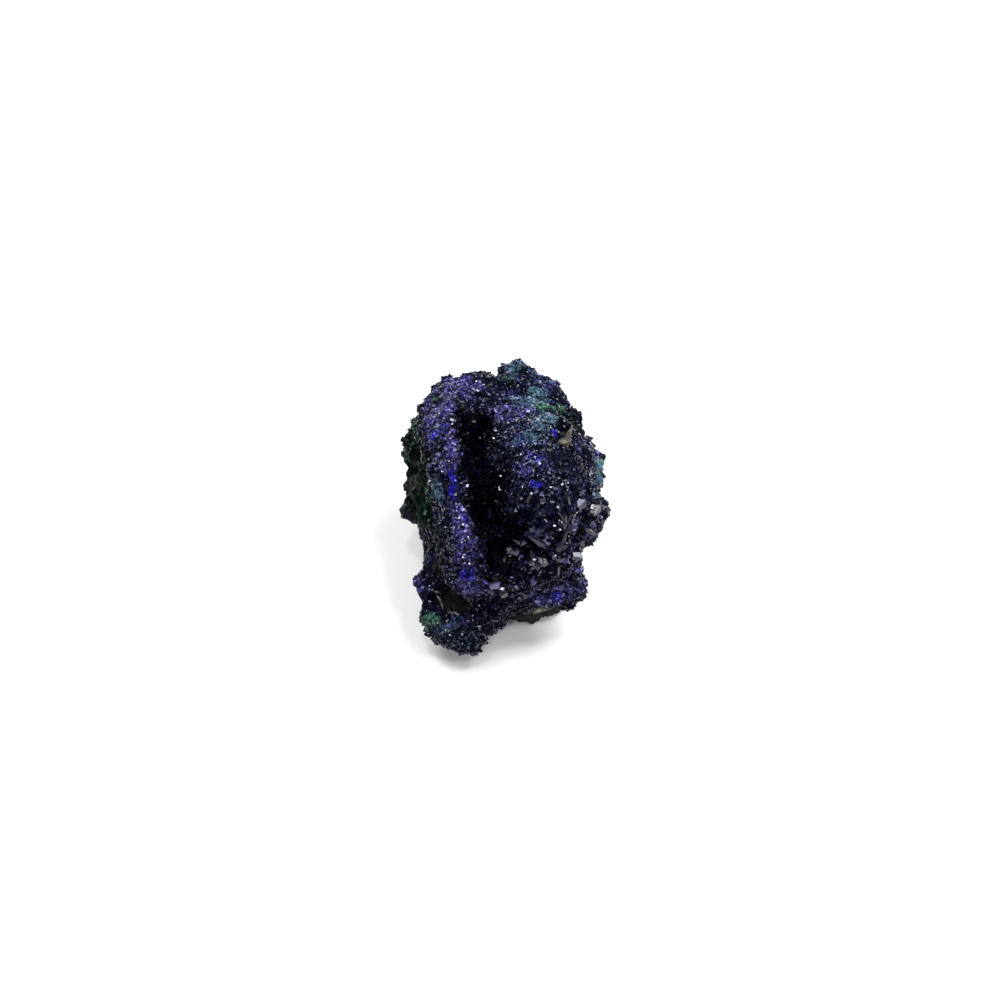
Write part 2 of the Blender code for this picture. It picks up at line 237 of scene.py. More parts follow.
@dataclass
class ColourMap:
    """Where the specimen takes which tone.

    Args:
        violet: Where it is violet.
        ultramarine: Where it is ultramarine.
        teal: Where it has a teal haze.
        malachite: Where it is malachite green.
        moss: Where it is dark green.
        ochre: Where it is tan.
        edges: What makes the patches' edges ragged.
    """

    violet: tuple[Patch, ...] = (
        Patch((0.0, -1.0, 8.0), (7.5, 9.5, 7.0), 0.31),
        Patch((-3.2, 5.6, 8.6), (2.2, 1.6, 1.6), 0.66),
        Patch((-3.9, 2.6, 9.4), (1.3, 2.6, 1.5), 0.76),
        Patch((-3.2, 0.0, 10.0), (0.9, 1.8, 1.2), 0.62),
        Patch((-2.4, -4.3, 8.8), (1.0, 1.3, 1.3), 0.78),
        Patch((-1.9, -5.7, 7.2), (1.3, 1.1, 1.5), 0.68),
        Patch((-1.7, -6.8, 5.2), (1.3, 0.9, 1.2), 0.74),
        Patch((0.5, 3.9, 9.1), (2.0, 1.4, 1.1), 0.72),
        Patch((0.9, 0.6, 10.8), (1.0, 1.3, 0.9), 0.6),
        Patch((1.7, -2.2, 11.0), (1.3, 1.6, 0.9), 0.6),
        Patch((2.9, -6.2, 4.0), (2.3, 0.9, 0.9), 0.68),
        Patch((4.4, -5.9, 4.9), (0.9, 1.0, 1.4), 0.55),
        Patch((-5.1, -5.2, 3.6), (0.8, 0.8, 0.8), 0.6),
        Patch((-2.9, -7.4, 3.0), (1.2, 0.8, 0.8), 0.5),
        Patch((1.2, 6.0, 8.2), (2.4, 1.6, 1.0), 0.5),
        Patch((2.3, 6.8, 7.8), (1.4, 1.0, 0.9), 0.55),
        Patch((4.6, 0.4, 9.4), (1.4, 1.6, 1.4), 0.42),
        Patch((5.2, 2.0, 7.0), (1.2, 1.6, 1.0), 0.55),
        Patch((0.5, 7.8, 5.2), (2.8, 1.6, 1.8), 0.5),
        Patch((5.2, 0.5, 4.2), (1.2, 2.6, 1.6), 0.42),
        Patch((-4.95, 4.55, 8.1), (0.6, 0.5, 0.6), 0.85),
    )
    ultramarine: tuple[Patch, ...] = (
        Patch((-3.04, -1.75, 9.98), (0.3, 0.8, 0.9), 1.0),
        Patch((-3.0, -2.6, 9.6), (0.28, 0.6, 0.9), 1.0),
        Patch((-2.5, -4.2, 9.11), (0.32, 0.5, 0.5), 0.95),
        Patch((-4.13, 1.21, 9.76), (0.4, 0.35, 0.4), 0.95),
        Patch((-3.7, 1.4, 10.2), (0.25, 0.3, 0.4), 0.7),
        Patch((0.31, 4.22, 8.94), (0.28, 0.3, 0.3), 1.0),
        Patch((0.85, 0.27, 10.75), (0.28, 0.34, 0.34), 1.0),
        Patch((3.1, 0.87, 10.69), (0.2, 0.45, 0.5), 0.9),
        Patch((1.75, -1.2, 11.2), (0.3, 0.3, 0.3), 0.75),
        Patch((1.73, -3.0, 10.72), (0.38, 0.4, 0.4), 1.0),
        Patch((3.3, -6.3, 3.9), (0.5, 0.35, 0.3), 0.6),
        Patch((-1.2, -6.8, 5.2), (0.3, 0.3, 0.4), 0.8),
        Patch((-2.0, -6.4, 6.2), (0.7, 0.5, 0.7), 0.55),
    )
    teal: tuple[Patch, ...] = (
        Patch((2.4, 2.2, 10.2), (1.3, 1.5, 1.0), 0.72),
        Patch((1.6, 0.7, 11.1), (1.2, 0.9, 0.7), 0.75),
        Patch((0.7, 0.4, 10.7), (0.7, 0.8, 0.7), 0.62),
        Patch((1.5, 5.2, 8.4), (1.5, 1.3, 1.0), 0.74),
        Patch((2.2, 7.0, 7.8), (1.5, 1.0, 0.9), 0.36),
        Patch((0.6, 7.8, 7.8), (0.9, 0.9, 0.8), 0.55),
        Patch((5.9, 0.8, 7.0), (0.6, 1.4, 1.4), 0.8),
        Patch((5.6, -2.1, 7.9), (0.4, 0.4, 0.4), 0.9),
        Patch((-4.0, -2.2, 8.8), (0.6, 1.3, 1.0), 0.7),
        Patch((-3.4, -7.7, 2.6), (0.9, 0.8, 0.8), 0.5),
        Patch((-2.4, -8.2, 2.0), (1.2, 0.6, 0.8), 0.4),
        Patch((1.0, -4.6, 9.6), (0.7, 0.7, 0.7), 0.5),
        Patch((-4.6, 5.4, 8.4), (0.5, 0.7, 0.6), 0.6),
    )
    malachite: tuple[Patch, ...] = (
        Patch((2.55, 4.3, 8.4), (0.6, 0.5, 0.5), 0.9),
        Patch((3.4, 4.6, 7.9), (0.55, 0.5, 0.5), 1.0),
        Patch((0.3, 7.2, 8.2), (0.8, 0.5, 0.5), 0.52),
        Patch((1.75, 5.5, 8.3), (0.35, 0.5, 0.4), 0.65),
        Patch((-4.35, -7.2, 2.6), (0.62, 0.5, 0.5), 1.0),
        Patch((-4.8, -7.1, 2.5), (0.9, 0.6, 0.6), 0.72),
        Patch((-4.9, -0.6, 7.4), (0.4, 0.9, 0.5), 0.5),
        Patch((5.9, 1.1, 6.6), (0.4, 0.7, 0.9), 0.75),
        Patch((-5.2, 2.9, 7.8), (0.5, 0.7, 0.6), 0.5),
        Patch((-4.9, -4.2, 4.6), (0.4, 0.6, 0.6), 0.45),
        Patch((-2.8, 7.0, 4.4), (1.0, 1.2, 0.9), 0.62),
        Patch((-4.6, 5.4, 8.4), (0.5, 0.7, 0.6), 0.55),
        Patch((5.2, -0.8, 3.2), (0.9, 1.2, 0.8), 0.55),
    )
    moss: tuple[Patch, ...] = (
        Patch((-4.2, -3.9, 6.6), (0.8, 1.6, 2.0), 1.0),
        Patch((-4.2, -5.0, 4.9), (0.9, 0.9, 1.0), 1.0),
        Patch((-5.2, -0.4, 6.0), (1.2, 3.4, 2.2), 1.0),
        Patch((-4.9, -0.9, 7.8), (0.9, 2.7, 1.9), 0.9),
        Patch((-5.4, 2.0, 5.4), (1.2, 2.4, 2.4), 1.0),
        Patch((-5.2, 3.4, 7.6), (0.8, 1.2, 0.9), 0.8),
        Patch((-4.3, 5.0, 8.7), (0.5, 0.6, 0.5), 0.8),
        Patch((0.3, 6.6, 8.1), (0.8, 0.4, 0.5), 0.85),
        Patch((1.7, 5.4, 8.7), (0.5, 0.4, 0.4), 0.5),
        Patch((2.6, -0.9, 11.1), (0.3, 0.5, 0.4), 0.75),
        Patch((3.8, 1.5, 10.2), (0.5, 1.0, 1.0), 1.0),
        Patch((4.5, 3.6, 7.8), (0.8, 1.2, 0.9), 0.85),
        Patch((4.7, 2.7, 7.9), (0.7, 0.8, 0.7), 0.85),
        Patch((-2.7, -5.8, 3.3), (0.9, 0.7, 0.6), 0.8),
        Patch((3.6, 6.0, 4.0), (1.2, 1.4, 1.4), 0.5),
    )
    ochre: tuple[Patch, ...] = (
        Patch((-3.7, -6.0, 2.9), (0.4, 0.3, 0.3), 0.5),
        Patch((3.5, 0.1, 10.8), (0.35, 0.3, 0.3), 0.5),
        Patch((-4.5, 5.0, 8.8), (0.3, 0.3, 0.3), 0.6),
        Patch((-4.3, -1.0, 8.4), (0.25, 0.3, 0.25), 0.6),
        Patch((2.4, -5.7, 1.3), (0.9, 0.6, 0.25), 1.0),
        Patch((-1.6, 7.4, 2.0), (2.0, 1.4, 0.9), 0.8),
        Patch((0.0, 5.0, 0.9), (5.0, 2.6, 1.3), 0.8),
        Patch((4.6, 0.6, 1.0), (1.4, 3.4, 1.0), 0.8),
        Patch((-4.6, 1.0, 1.2), (1.6, 3.4, 1.2), 0.8),
    )
    edges: tuple[Waver, ...] = (Waver(1.3, 0.36, 1), Waver(0.45, 0.22, 2))

    def tones(self, places: np.ndarray) -> np.ndarray:
        """Work out the six tones at each place.

        Args:
            places: One row of X, Y and Z for each place, in millimetres.

        Returns:
            One row of six weights between 0 and 1 for each place.
        """
        for edge in self.edges:
            places = edge.shift(places)
        return np.stack([strongest(getattr(self, tone.name.lower()), places) for tone in Tone], axis=1)


@dataclass
class GrainMap:
    """How large the crystals are, where they thin out and where blades grow.

    Args:
        usual: The usual size, in millimetres.
        sizes: Where the crystals are larger, and by how much.
        thin: Where they thin out.
        bladed: Where blades grow between them.
        least: The share of the surface that they cover at least.
        gritless: How much less grit grows between the blades.
    """

    usual: float = 0.25
    sizes: tuple[Patch, ...] = (
        Patch((3.0, -4.4, 8.4), (2.6, 2.2, 2.4), 0.34),
        Patch((5.0, -3.2, 7.6), (1.2, 1.6, 1.8), 0.28),
        Patch((1.6, -6.0, 6.4), (1.6, 1.0, 1.2), 0.24),
        Patch((2.6, -1.2, 10.4), (2.4, 1.8, 1.2), 0.06),
        Patch((-2.6, -4.4, 8.2), (1.6, 3.4, 2.6), 0.04),
        Patch((0.0, 8.4, 4.8), (4.0, 1.6, 3.0), 0.12),
        Patch((-0.8, 0.0, 7.4), (1.3, 4.0, 2.6), 0.1),
        Patch((5.6, 3.0, 4.4), (1.6, 3.4, 3.0), 0.1),
    )
    thin: tuple[Patch, ...] = (
        Patch((-5.4, 0.2, 5.4), (1.3, 4.4, 2.8), 0.97),
        Patch((-4.9, -0.9, 7.8), (0.9, 2.6, 1.9), 0.92),
        Patch((-4.2, -4.2, 6.0), (0.8, 1.8, 2.5), 0.97),
        Patch((-3.6, -6.0, 3.1), (1.2, 0.7, 0.5), 0.8),
        Patch((2.6, 3.8, 8.8), (0.8, 0.6, 0.6), 0.3),
        Patch((3.7, 0.5, 10.7), (0.5, 0.4, 0.4), 0.8),
        Patch((3.8, 1.6, 10.1), (0.5, 1.0, 1.0), 0.9),
        Patch((4.5, 3.6, 7.8), (0.7, 1.0, 0.8), 0.7),
    )
    bladed: tuple[Patch, ...] = (
        Patch((3.0, -4.4, 8.4), (2.6, 2.2, 2.4), 1.0),
        Patch((5.0, -3.2, 7.6), (1.0, 1.4, 1.6), 1.0),
        Patch((1.6, -6.0, 6.4), (1.6, 1.0, 1.2), 0.7),
    )
    least: float = 0.02
    gritless: float = 0.8

    def sizes_at(self, places: np.ndarray) -> np.ndarray:
        """Give the usual crystal size at each place, in millimetres."""
        return self.usual + strongest(self.sizes, places)

    def cover_at(self, places: np.ndarray) -> np.ndarray:
        """Give the share of the surface that blocky crystals cover at each place."""
        return np.clip(1.0 - strongest(self.thin, places), self.least, 1.0)

    def fine_at(self, places: np.ndarray) -> np.ndarray:
        """Give the share of the surface that grit covers, which is little between blades."""
        return self.cover_at(places) * (1.0 - self.gritless * self.blades_at(places))

    def blades_at(self, places: np.ndarray) -> np.ndarray:
        """Give how densely blades stand at each place."""
        return strongest(self.bladed, places)


class Region(Enum):
    """A part of the specimen whose crystals make one piece: its name and its middle in millimetres."""

    RIDGE = ("ridge_druse", (-3.2, 0.6, 9.6))
    RIDGE_FOOT = ("ridge_foot_druse", (-2.2, -6.0, 6.4))
    DOME = ("dome_druse", (2.0, -1.4, 10.8))
    TOP = ("top_druse", (1.2, 4.4, 9.0))
    FRONT = ("front_druse", (2.4, -5.2, 7.4))
    LIP = ("lip_druse", (2.6, -6.2, 3.4))
    NUB = ("nub_druse", (-3.0, -7.4, 2.2))
    LEFT = ("left_druse", (-5.6, -0.2, 4.4))
    LEFT_BACK = ("left_back_druse", (-4.6, 5.6, 6.0))
    RIGHT = ("right_druse", (6.0, 0.0, 5.2))
    RIGHT_BACK = ("right_back_druse", (4.6, 5.0, 4.6))
    BACK = ("back_druse", (0.4, 8.6, 4.0))
    CLEFT = ("cleft_druse", (-0.6, 0.0, 8.0))

    @property
    def piece(self) -> str:
        """The piece's name."""
        return self.value[0]

    @property
    def middle(self) -> Triple:
        """The region's middle."""
        return self.value[1]

    @property
    def order(self) -> int:
        """The region's place in the list."""
        return list(Region).index(self)


@dataclass(frozen=True)
class Habit:
    """One crystal shape: a prism on a buried foot under a slanted chisel edge.

    Args:
        outline: Corners of its cross-section, for a width of 1.
        thick: Thickness as a share of the width.
        tall: Height above the skin.
        foot: Depth below the skin.
        slope: How far the chisel edge slants.
        crest: Length of the chisel edge as a share of the width.
        pointed: Whether the foot runs to a point, which saves faces on small crystals.
        bevel: How far the shoulder falls away at the sides.
        rise: How far the chisel edge stands over the shoulder, as a share of the height.
        skew: How far off the middle line the edge's two ends are.
    """

    outline: tuple[tuple[float, float], ...]
    thick: float
    tall: float
    foot: float
    slope: float
    crest: float
    pointed: bool = True
    bevel: float = 0.4
    rise: float = 0.34
    skew: float = 0.05

    def corners(self) -> list[Vector]:
        """Work out the crystal's corners.

        Returns:
            Corners of its convex solid.
        """
        points = [Vector((0.0, 0.0, -self.foot))] if self.pointed else []
        for x, y in self.outline:
            shoulder = self.tall * (1.0 - self.rise + self.slope * x - self.bevel * abs(y))
            points.append(Vector((x, y * self.thick, shoulder)))
            if not self.pointed:
                points.append(Vector((x, y * self.thick, -self.foot)))
        half = self.crest / 2.0
        for end, skew in ((half, self.skew), (-half, -self.skew)):
            points.append(Vector((end, skew * self.thick, self.tall * (1.0 + self.slope * end))))
        return points


SIX_SIDED = ((0.5, 0.08), (0.24, 0.5), (-0.28, 0.46), (-0.5, -0.06), (-0.22, -0.5), (0.3, -0.44))
FIVE_SIDED = ((0.5, 0.1), (0.12, 0.5), (-0.46, 0.3), (-0.42, -0.32), (0.22, -0.5))
RHOMBIC = ((0.5, 0.12), (-0.1, 0.5), (-0.5, -0.14), (0.12, -0.5))
BLOCKY = (
    Habit(SIX_SIDED, 0.8, 0.5, 1.1, 0.35, 0.6),
    Habit(FIVE_SIDED, 0.9, 0.42, 1.1, 0.5, 0.5),
    Habit(RHOMBIC, 0.95, 0.52, 1.1, 0.2, 0.5),
    Habit(FIVE_SIDED, 0.5, 0.56, 1.0, 0.3, 0.8),
    Habit(RHOMBIC, 0.6, 0.7, 1.0, 0.5, 0.4),
    Habit(RHOMBIC, 0.75, 0.45, 1.1, 0.7, 0.7),
)
BLADED = (
    Habit(SIX_SIDED, 0.2, 0.42, 0.4, 0.25, 0.9),
    Habit(RHOMBIC, 0.26, 0.5, 0.4, 0.5, 0.7),
    Habit(FIVE_SIDED, 0.16, 0.36, 0.4, 0.15, 0.9),
    Habit(SIX_SIDED, 0.36, 0.4, 0.4, 0.6, 0.6),
)


def add_hull(shape: bmesh.types.BMesh, corners: list[Vector]) -> None:
    """Add the convex solid of some corners to a mesh being built.

    Args:
        shape: The mesh being built.
        corners: The corners. Those that lie inside are left out.
    """
    verts = [shape.verts.new(corner) for corner in corners]
    hull = bmesh.ops.convex_hull(shape, input=verts, use_existing_faces=False)
    spare = [item for item in hull["geom_interior"] if isinstance(item, bmesh.types.BMVert)]
    bmesh.ops.delete(shape, geom=spare, context="VERTS")


def as_mesh(shape: bmesh.types.BMesh, name: str, outward: bool = False) -> bpy.types.Mesh:
    """Turn what was built into a named mesh.

    Args:
        shape: The mesh being built, which is freed.
        name: The mesh's name.
        outward: Whether the faces still have to be turned outwards.

    Returns:
        The mesh.
    """
    if outward:
        bmesh.ops.recalc_face_normals(shape, faces=shape.faces[:])
    mesh = bpy.data.meshes.new(name)
    shape.to_mesh(mesh)
    shape.free()
    return mesh


class CrystalShapes:
    """The handful of crystal shapes that a layer repeats, kept in a collection while it is needed."""

    def __init__(self, name: str, habits: tuple[Habit, ...]) -> None:
        """Make the collection, one object for each habit.

        Args:
            name: The layer's name.
            habits: The crystal shapes.
        """
        self.collection = bpy.data.collections.new(name)
        for index, habit in enumerate(habits):
            shape = bmesh.new()
            add_hull(shape, habit.corners())
            mesh = as_mesh(shape, f"habit_{index}", outward=True)
            self.collection.objects.link(bpy.data.objects.new(mesh.name, mesh))

    def discard(self) -> None:
        """Remove the shapes again."""
        for item in list(self.collection.objects):
            mesh = item.data
            bpy.data.objects.remove(item, do_unlink=True)
            bpy.data.meshes.remove(mesh)
        bpy.data.collections.remove(self.collection)


class NodeTree:
    """A node tree under construction, with short ways to add and join nodes."""

    def __init__(self, tree: bpy.types.NodeTree) -> None:
        """Start from an existing tree."""
        self.tree = tree

    def add(self, kind: str, inputs: dict | None = None, **settings: object) -> bpy.types.Node:
        """Add a node.

        Args:
            kind: Its Blender type.
            inputs: Socket name or number to a value or to another node's output.
            settings: The node's own settings.

        Returns:
            The node.
        """
        node = self.tree.nodes.new(kind)
        for name, value in settings.items():
            setattr(node, name, value)
        for name, value in (inputs or {}).items():
            if isinstance(value, bpy.types.NodeSocket):
                self.tree.links.new(value, node.inputs[name])
            else:
                node.inputs[name].default_value = value
        return node

    def math(self, operation: str, *values: object) -> bpy.types.NodeSocket:
        """Add a Math node and return its result."""
        return self.add("ShaderNodeMath", dict(enumerate(values)), operation=operation).outputs[0]

    def clamp01(self, value: bpy.types.NodeSocket) -> bpy.types.NodeSocket:
        """Keep a value between 0 and 1."""
        return self.add("ShaderNodeClamp", {"Value": value}).outputs[0]

    def above(self, value: object, least: float, slope: float) -> bpy.types.NodeSocket:
        """Give how far a value lies above a limit, times a slope, between 0 and 1."""
        return self.clamp01(self.math("MULTIPLY", self.math("SUBTRACT", value, least), slope))

    def mix(self, share: object, first: object, second: object) -> bpy.types.NodeSocket:
        """Mix two colours.

        Args:
            share: How much of the second there is.
            first: A colour or another node's output.
            second: A colour or another node's output.

        Returns:
            The mixed colour.
        """
        node = self.add("ShaderNodeMix", data_type="RGBA")
        for socket, value in ((node.inputs[0], share), (node.inputs[6], first), (node.inputs[7], second)):
            if isinstance(value, bpy.types.NodeSocket):
                self.tree.links.new(value, socket)
            else:
                socket.default_value = value
        return node.outputs[2]

    def stored(self, name: str, output: str = "Color") -> bpy.types.NodeSocket:
        """Read what a material finds stored on the mesh."""
        return self.add("ShaderNodeAttribute", attribute_name=name).outputs[output]

    def channels(self, colour: bpy.types.NodeSocket) -> bpy.types.bpy_prop_collection:
        """Split a colour into its three channels."""
        return self.add("ShaderNodeSeparateColor", {0: colour}).outputs

    def place(self) -> bpy.types.NodeSocket:
        """Read where on its piece a point lies."""
        return self.add("ShaderNodeTexCoord").outputs["Object"]

    def cloud(self, place: bpy.types.NodeSocket, scale: float, detail: float) -> bpy.types.NodeSocket:
        """Add smooth noise and return its value."""
        return self.add("ShaderNodeTexNoise", {"Vector": place, "Scale": scale, "Detail": detail}).outputs[0]

    def surface(self, inputs: dict) -> None:
        """Add the shader with the given inputs and join it to the material's output."""
        shader = self.add("ShaderNodeBsdfPrincipled", inputs)
        self.add("ShaderNodeOutputMaterial", {"Surface": shader.outputs[0]})


@dataclass(frozen=True)
class Scatter:
    """How one layer of crystals is scattered.

    Args:
        name: The layer's name, which its inputs on the tree start with.
        habits: The crystal shapes.
        cover: The skin's number that says where the layer grows.
        crowd: Crystals in the area of one square grain.
        size: Width as a share of the grain.
        spread: How much larger the largest are.
        tilt: How far they lean off the skin's normal.
        seed: Which draw.
    """

    name: str
    habits: tuple[Habit, ...]
    cover: str
    crowd: float
    size: float
    spread: float
    tilt: float
    seed: int

    def inputs(self) -> dict[str, float]:
        """List the layer's values by the names of its inputs on the tree."""
        names = ("crowd", "size", "spread", "tilt", "seed")
        return {f"{self.name} {name}": getattr(self, name) for name in names}


LAYERS = (
    Scatter("Main", BLOCKY, "cover", 1.4, 1.0, 0.6, 0.34, 11),
    Scatter("Fine", BLOCKY, "grit", 0.7, 0.55, 0.5, 0.5, 41),
    Scatter("Blade", BLADED, "bladed", 0.5, 1.7, 0.7, 0.7, 71),
)
REGION_SEED_STEP = 100  # how far apart the seeds of two regions are
SAME_REGION = 0.5  # how near the skin's number is to a region's where it belongs to it
DRAWS = 6  # how many random draws each crystal takes


@dataclass
class DruseTree:
    """The Geometry Nodes tree that scatters layers of crystals over one region of a skin.

    Args:
        rarity: The power that makes large crystals rare.
        smallest: The smallest crystal as a share of the usual size.
        least_stretch: How much width, thickness and height are stretched at least.
        most_stretch: How much they are stretched at most.
    """

    rarity: float = 3.0
    smallest: float = 0.7
    least_stretch: Triple = (0.8, 0.8, 0.6)
    most_stretch: Triple = (1.25, 1.2, 1.1)

    def __post_init__(self) -> None:
        """Build the tree once, for every region."""
        self.tree = bpy.data.node_groups.new("scatter_crystals", "GeometryNodeTree")
        self.make = NodeTree(self.tree)
        face = self.tree.interface
        face.new_socket("Geometry", in_out="INPUT", socket_type="NodeSocketGeometry")
        face.new_socket("Region", in_out="INPUT", socket_type="NodeSocketFloat")
        face.new_socket("Finish", in_out="INPUT", socket_type="NodeSocketMaterial")
        for layer in LAYERS:
            face.new_socket(f"{layer.name} shapes", in_out="INPUT", socket_type="NodeSocketCollection")
            for name, value in layer.inputs().items():
                kind = "NodeSocketInt" if isinstance(value, int) else "NodeSocketFloat"
                face.new_socket(name, in_out="INPUT", socket_type=kind)
        face.new_socket("Geometry", in_out="OUTPUT", socket_type="NodeSocketGeometry")
        given = self.make.add("NodeGroupInput").outputs
        grown = self.make.add("GeometryNodeJoinGeometry")
        for layer in LAYERS:
            self.tree.links.new(self._layer(given, layer), grown.inputs[0])
        real = self.make.add("GeometryNodeRealizeInstances", {"Geometry": grown.outputs[0]})
        dressed = self.make.add(
            "GeometryNodeSetMaterial", {"Geometry": real.outputs[0], "Material": given["Finish"]}
        )
        self.make.add("NodeGroupOutput", {"Geometry": dressed.outputs[0]})

    def _attribute(self, name: str) -> bpy.types.NodeSocket:
        """Read one of the skin's numbers."""
        return self.make.add("GeometryNodeInputNamedAttribute", {"Name": name}, data_type="FLOAT").outputs[0]

    def _random(self, kind: str, seed: object, **limits: object) -> bpy.types.NodeSocket:
        """Add a Random Value node.

        Args:
            kind: What it draws.
            seed: Which draw.
            limits: The smallest and the largest value, where they aren't 0 and 1.

        Returns:
            Its output of that kind.
        """
        node = self.make.add("FunctionNodeRandomValue", {"Seed": seed}, data_type=kind)
        for name, value in limits.items():
            socket = next(item for item in node.inputs if item.enabled and item.name == name.capitalize())
            socket.default_value = value
        return next(item for item in node.outputs if item.enabled)

    def _layer(self, given: object, layer: Scatter) -> bpy.types.NodeSocket:
        """Wire one layer, from the skin to its instances.

        Args:
            given: The tree's inputs.
            layer: The layer.

        Returns:
            The instances.
        """
        make, name = self.make, layer.name
        grain = self._attribute("grain")
        here = make.math("COMPARE", self._attribute("region"), given["Region"], SAME_REGION)
        crowd = make.math("DIVIDE", given[f"{name} crowd"], make.math("MULTIPLY", grain, grain))
        density = make.math("MULTIPLY", make.math("MULTIPLY", crowd, here), self._attribute(layer.cover))
        points = make.add(
            "GeometryNodeDistributePointsOnFaces",
            {"Mesh": given["Geometry"], "Density": density, "Seed": given[f"{name} seed"]},
            distribute_method="RANDOM",
        )
        seeds = [make.math("ADD", given[f"{name} seed"], float(step)) for step in range(1, DRAWS + 1)]
        shapes = make.add(
            "GeometryNodeCollectionInfo",
            {"Collection": given[f"{name} shapes"], "Separate Children": True, "Reset Children": True},
        )
        placed = make.add(
            "GeometryNodeInstanceOnPoints",
            {
                "Points": points.outputs["Points"],
                "Instance": shapes.outputs[0],
                "Pick Instance": True,
                "Instance Index": self._random("INT", seeds[0], min=0, max=len(layer.habits) - 1),
                "Rotation": self._turned(points, given[f"{name} tilt"], seeds[1], seeds[2]),
                "Scale": self._scale(given, name, grain, seeds[3], seeds[4]),
            },
        )
        marked = make.add(
            "GeometryNodeStoreNamedAttribute",
            {"Geometry": placed.outputs[0], "Name": "tint", "Value": self._random("FLOAT", seeds[5])},
            data_type="FLOAT",
            domain="INSTANCE",
        )
        return marked.outputs[0]

    def _turned(
        self, points: bpy.types.Node, tilt: object, sway_seed: object, spin_seed: object
    ) -> bpy.types.NodeSocket:
        """Turn each crystal along the skin's normal, tilted and spun at random.

        Args:
            points: The node that spread the crystals.
            tilt: How far they lean off the normal.
            sway_seed: Which draw leans them.
            spin_seed: Which draw spins them.

        Returns:
            Each crystal's rotation.
        """
        sway = self._random("FLOAT_VECTOR", sway_seed, min=(-1.0, -1.0, -1.0), max=(1.0, 1.0, 1.0))
        lean = self.make.add(
            "ShaderNodeVectorMath", {0: sway, 1: tilt, 2: points.outputs["Normal"]}, operation="MULTIPLY_ADD"
        )
        upright = self.make.add("FunctionNodeAlignRotationToVector", {"Vector": lean.outputs[0]}, axis="Z")
        spin = self._random("FLOAT_VECTOR", spin_seed, min=(0.0, 0.0, 0.0), max=(0.0, 0.0, math.tau))
        own = self.make.add("FunctionNodeEulerToRotation", {0: spin})
        spun = self.make.add(
            "FunctionNodeRotateRotation",
            {"Rotation": upright.outputs[0], "Rotate By": own.outputs[0]},
            rotation_space="LOCAL",
        )
        return spun.outputs[0]

    def _scale(
        self, given: object, name: str, grain: object, size_seed: object, stretch_seed: object
    ) -> bpy.types.NodeSocket:
        """Size each crystal by the grain, with a few much larger than the rest.

        Args:
            given: The tree's inputs.
            name: The layer's name.
            grain: The usual size at each place.
            size_seed: Which draw sizes them.
            stretch_seed: Which draw stretches them.

        Returns:
            Each crystal's scale.
        """
        make = self.make
        growth = make.math("POWER", self._random("FLOAT", size_seed), self.rarity)
        factor = make.math("ADD", make.math("MULTIPLY", growth, given[f"{name} spread"]), self.smallest)
        size = make.math("MULTIPLY", make.math("MULTIPLY", factor, grain), given[f"{name} size"])
        limits = {"min": self.least_stretch, "max": self.most_stretch}
        stretch = self._random("FLOAT_VECTOR", stretch_seed, **limits)
        scaled = make.add("ShaderNodeVectorMath", {0: stretch, "Scale": size}, operation="SCALE")
        return scaled.outputs[0]

    def scatter(
        self,
        skin: bpy.types.Object,
        region: Region,
        shapes: dict[str, CrystalShapes],
        finish: bpy.types.Material,
    ) -> bpy.types.Mesh:
        """Grow one region's crystals as a plain mesh.

        Args:
            skin: The described skin, in millimetres.
            region: Which region.
            shapes: The crystal shapes of each layer.
            finish: The crystals' material.

        Returns:
            The crystals, in millimetres.
        """
        ground_skin = link("ground_skin", skin.data)
        step = ground_skin.modifiers.new("scatter", "NODES")
        step.node_group = self.tree
        values: dict[str, object] = {"Region": float(region.order), "Finish": finish}
        for layer in LAYERS:
            values |= layer.inputs()
            values[f"{layer.name} seed"] = layer.seed + REGION_SEED_STEP * region.order
            values[f"{layer.name} shapes"] = shapes[layer.name].collection
        for socket in self.tree.interface.items_tree:
            if socket.in_out == "INPUT" and socket.name in values:
                step[socket.identifier] = values[socket.name]
        mesh = plain_mesh(ground_skin, region.piece)
        ground_skin.modifiers.clear()
        bpy.data.objects.remove(ground_skin, do_unlink=True)
        return mesh


def plain_mesh(item: bpy.types.Object, name: str) -> bpy.types.Mesh:
    """Evaluate an object with its modifiers into a mesh of its own.

    Args:
        item: The object.
        name: The new mesh's name.

    Returns:
        The mesh.
    """
    bpy.context.view_layer.update()
    seen = item.evaluated_get(bpy.context.evaluated_depsgraph_get())
    mesh = bpy.data.meshes.new_from_object(seen)
    mesh.name = name
    return mesh


def link(name: str, mesh: bpy.types.Mesh) -> bpy.types.Object:
    """Put a mesh into the scene as an object at the origin.

    Args:
        name: The object's name.
        mesh: The mesh.

    Returns:
        The object.
    """
    item = bpy.data.objects.new(name, mesh)
    bpy.context.scene.collection.objects.link(item)
    return item


def rows_of(values: bpy.types.bpy_prop_collection, name: str) -> np.ndarray:
    """Read a vector of each item as rows of X, Y and Z.

    Args:
        values: The items.
        name: The vector's name.

    Returns:
        One row for each item.
    """
    rows = np.empty(len(values) * 3, dtype=np.float32)
    values.foreach_get(name, rows)
    return rows.reshape(-1, 3)


def coordinates(mesh: bpy.types.Mesh) -> np.ndarray:
    """Read a mesh's vertices."""
    return rows_of(mesh.vertices, "co").astype(np.float64)


def normals(mesh: bpy.types.Mesh) -> np.ndarray:
    """Read a mesh's vertex normals."""
    return rows_of(mesh.vertex_normals, "vector")


def place_vertices(mesh: bpy.types.Mesh, places: np.ndarray) -> None:
    """Write rows of X, Y and Z back to a mesh."""
    mesh.vertices.foreach_set("co", places.astype(np.float32).ravel())
    mesh.update()


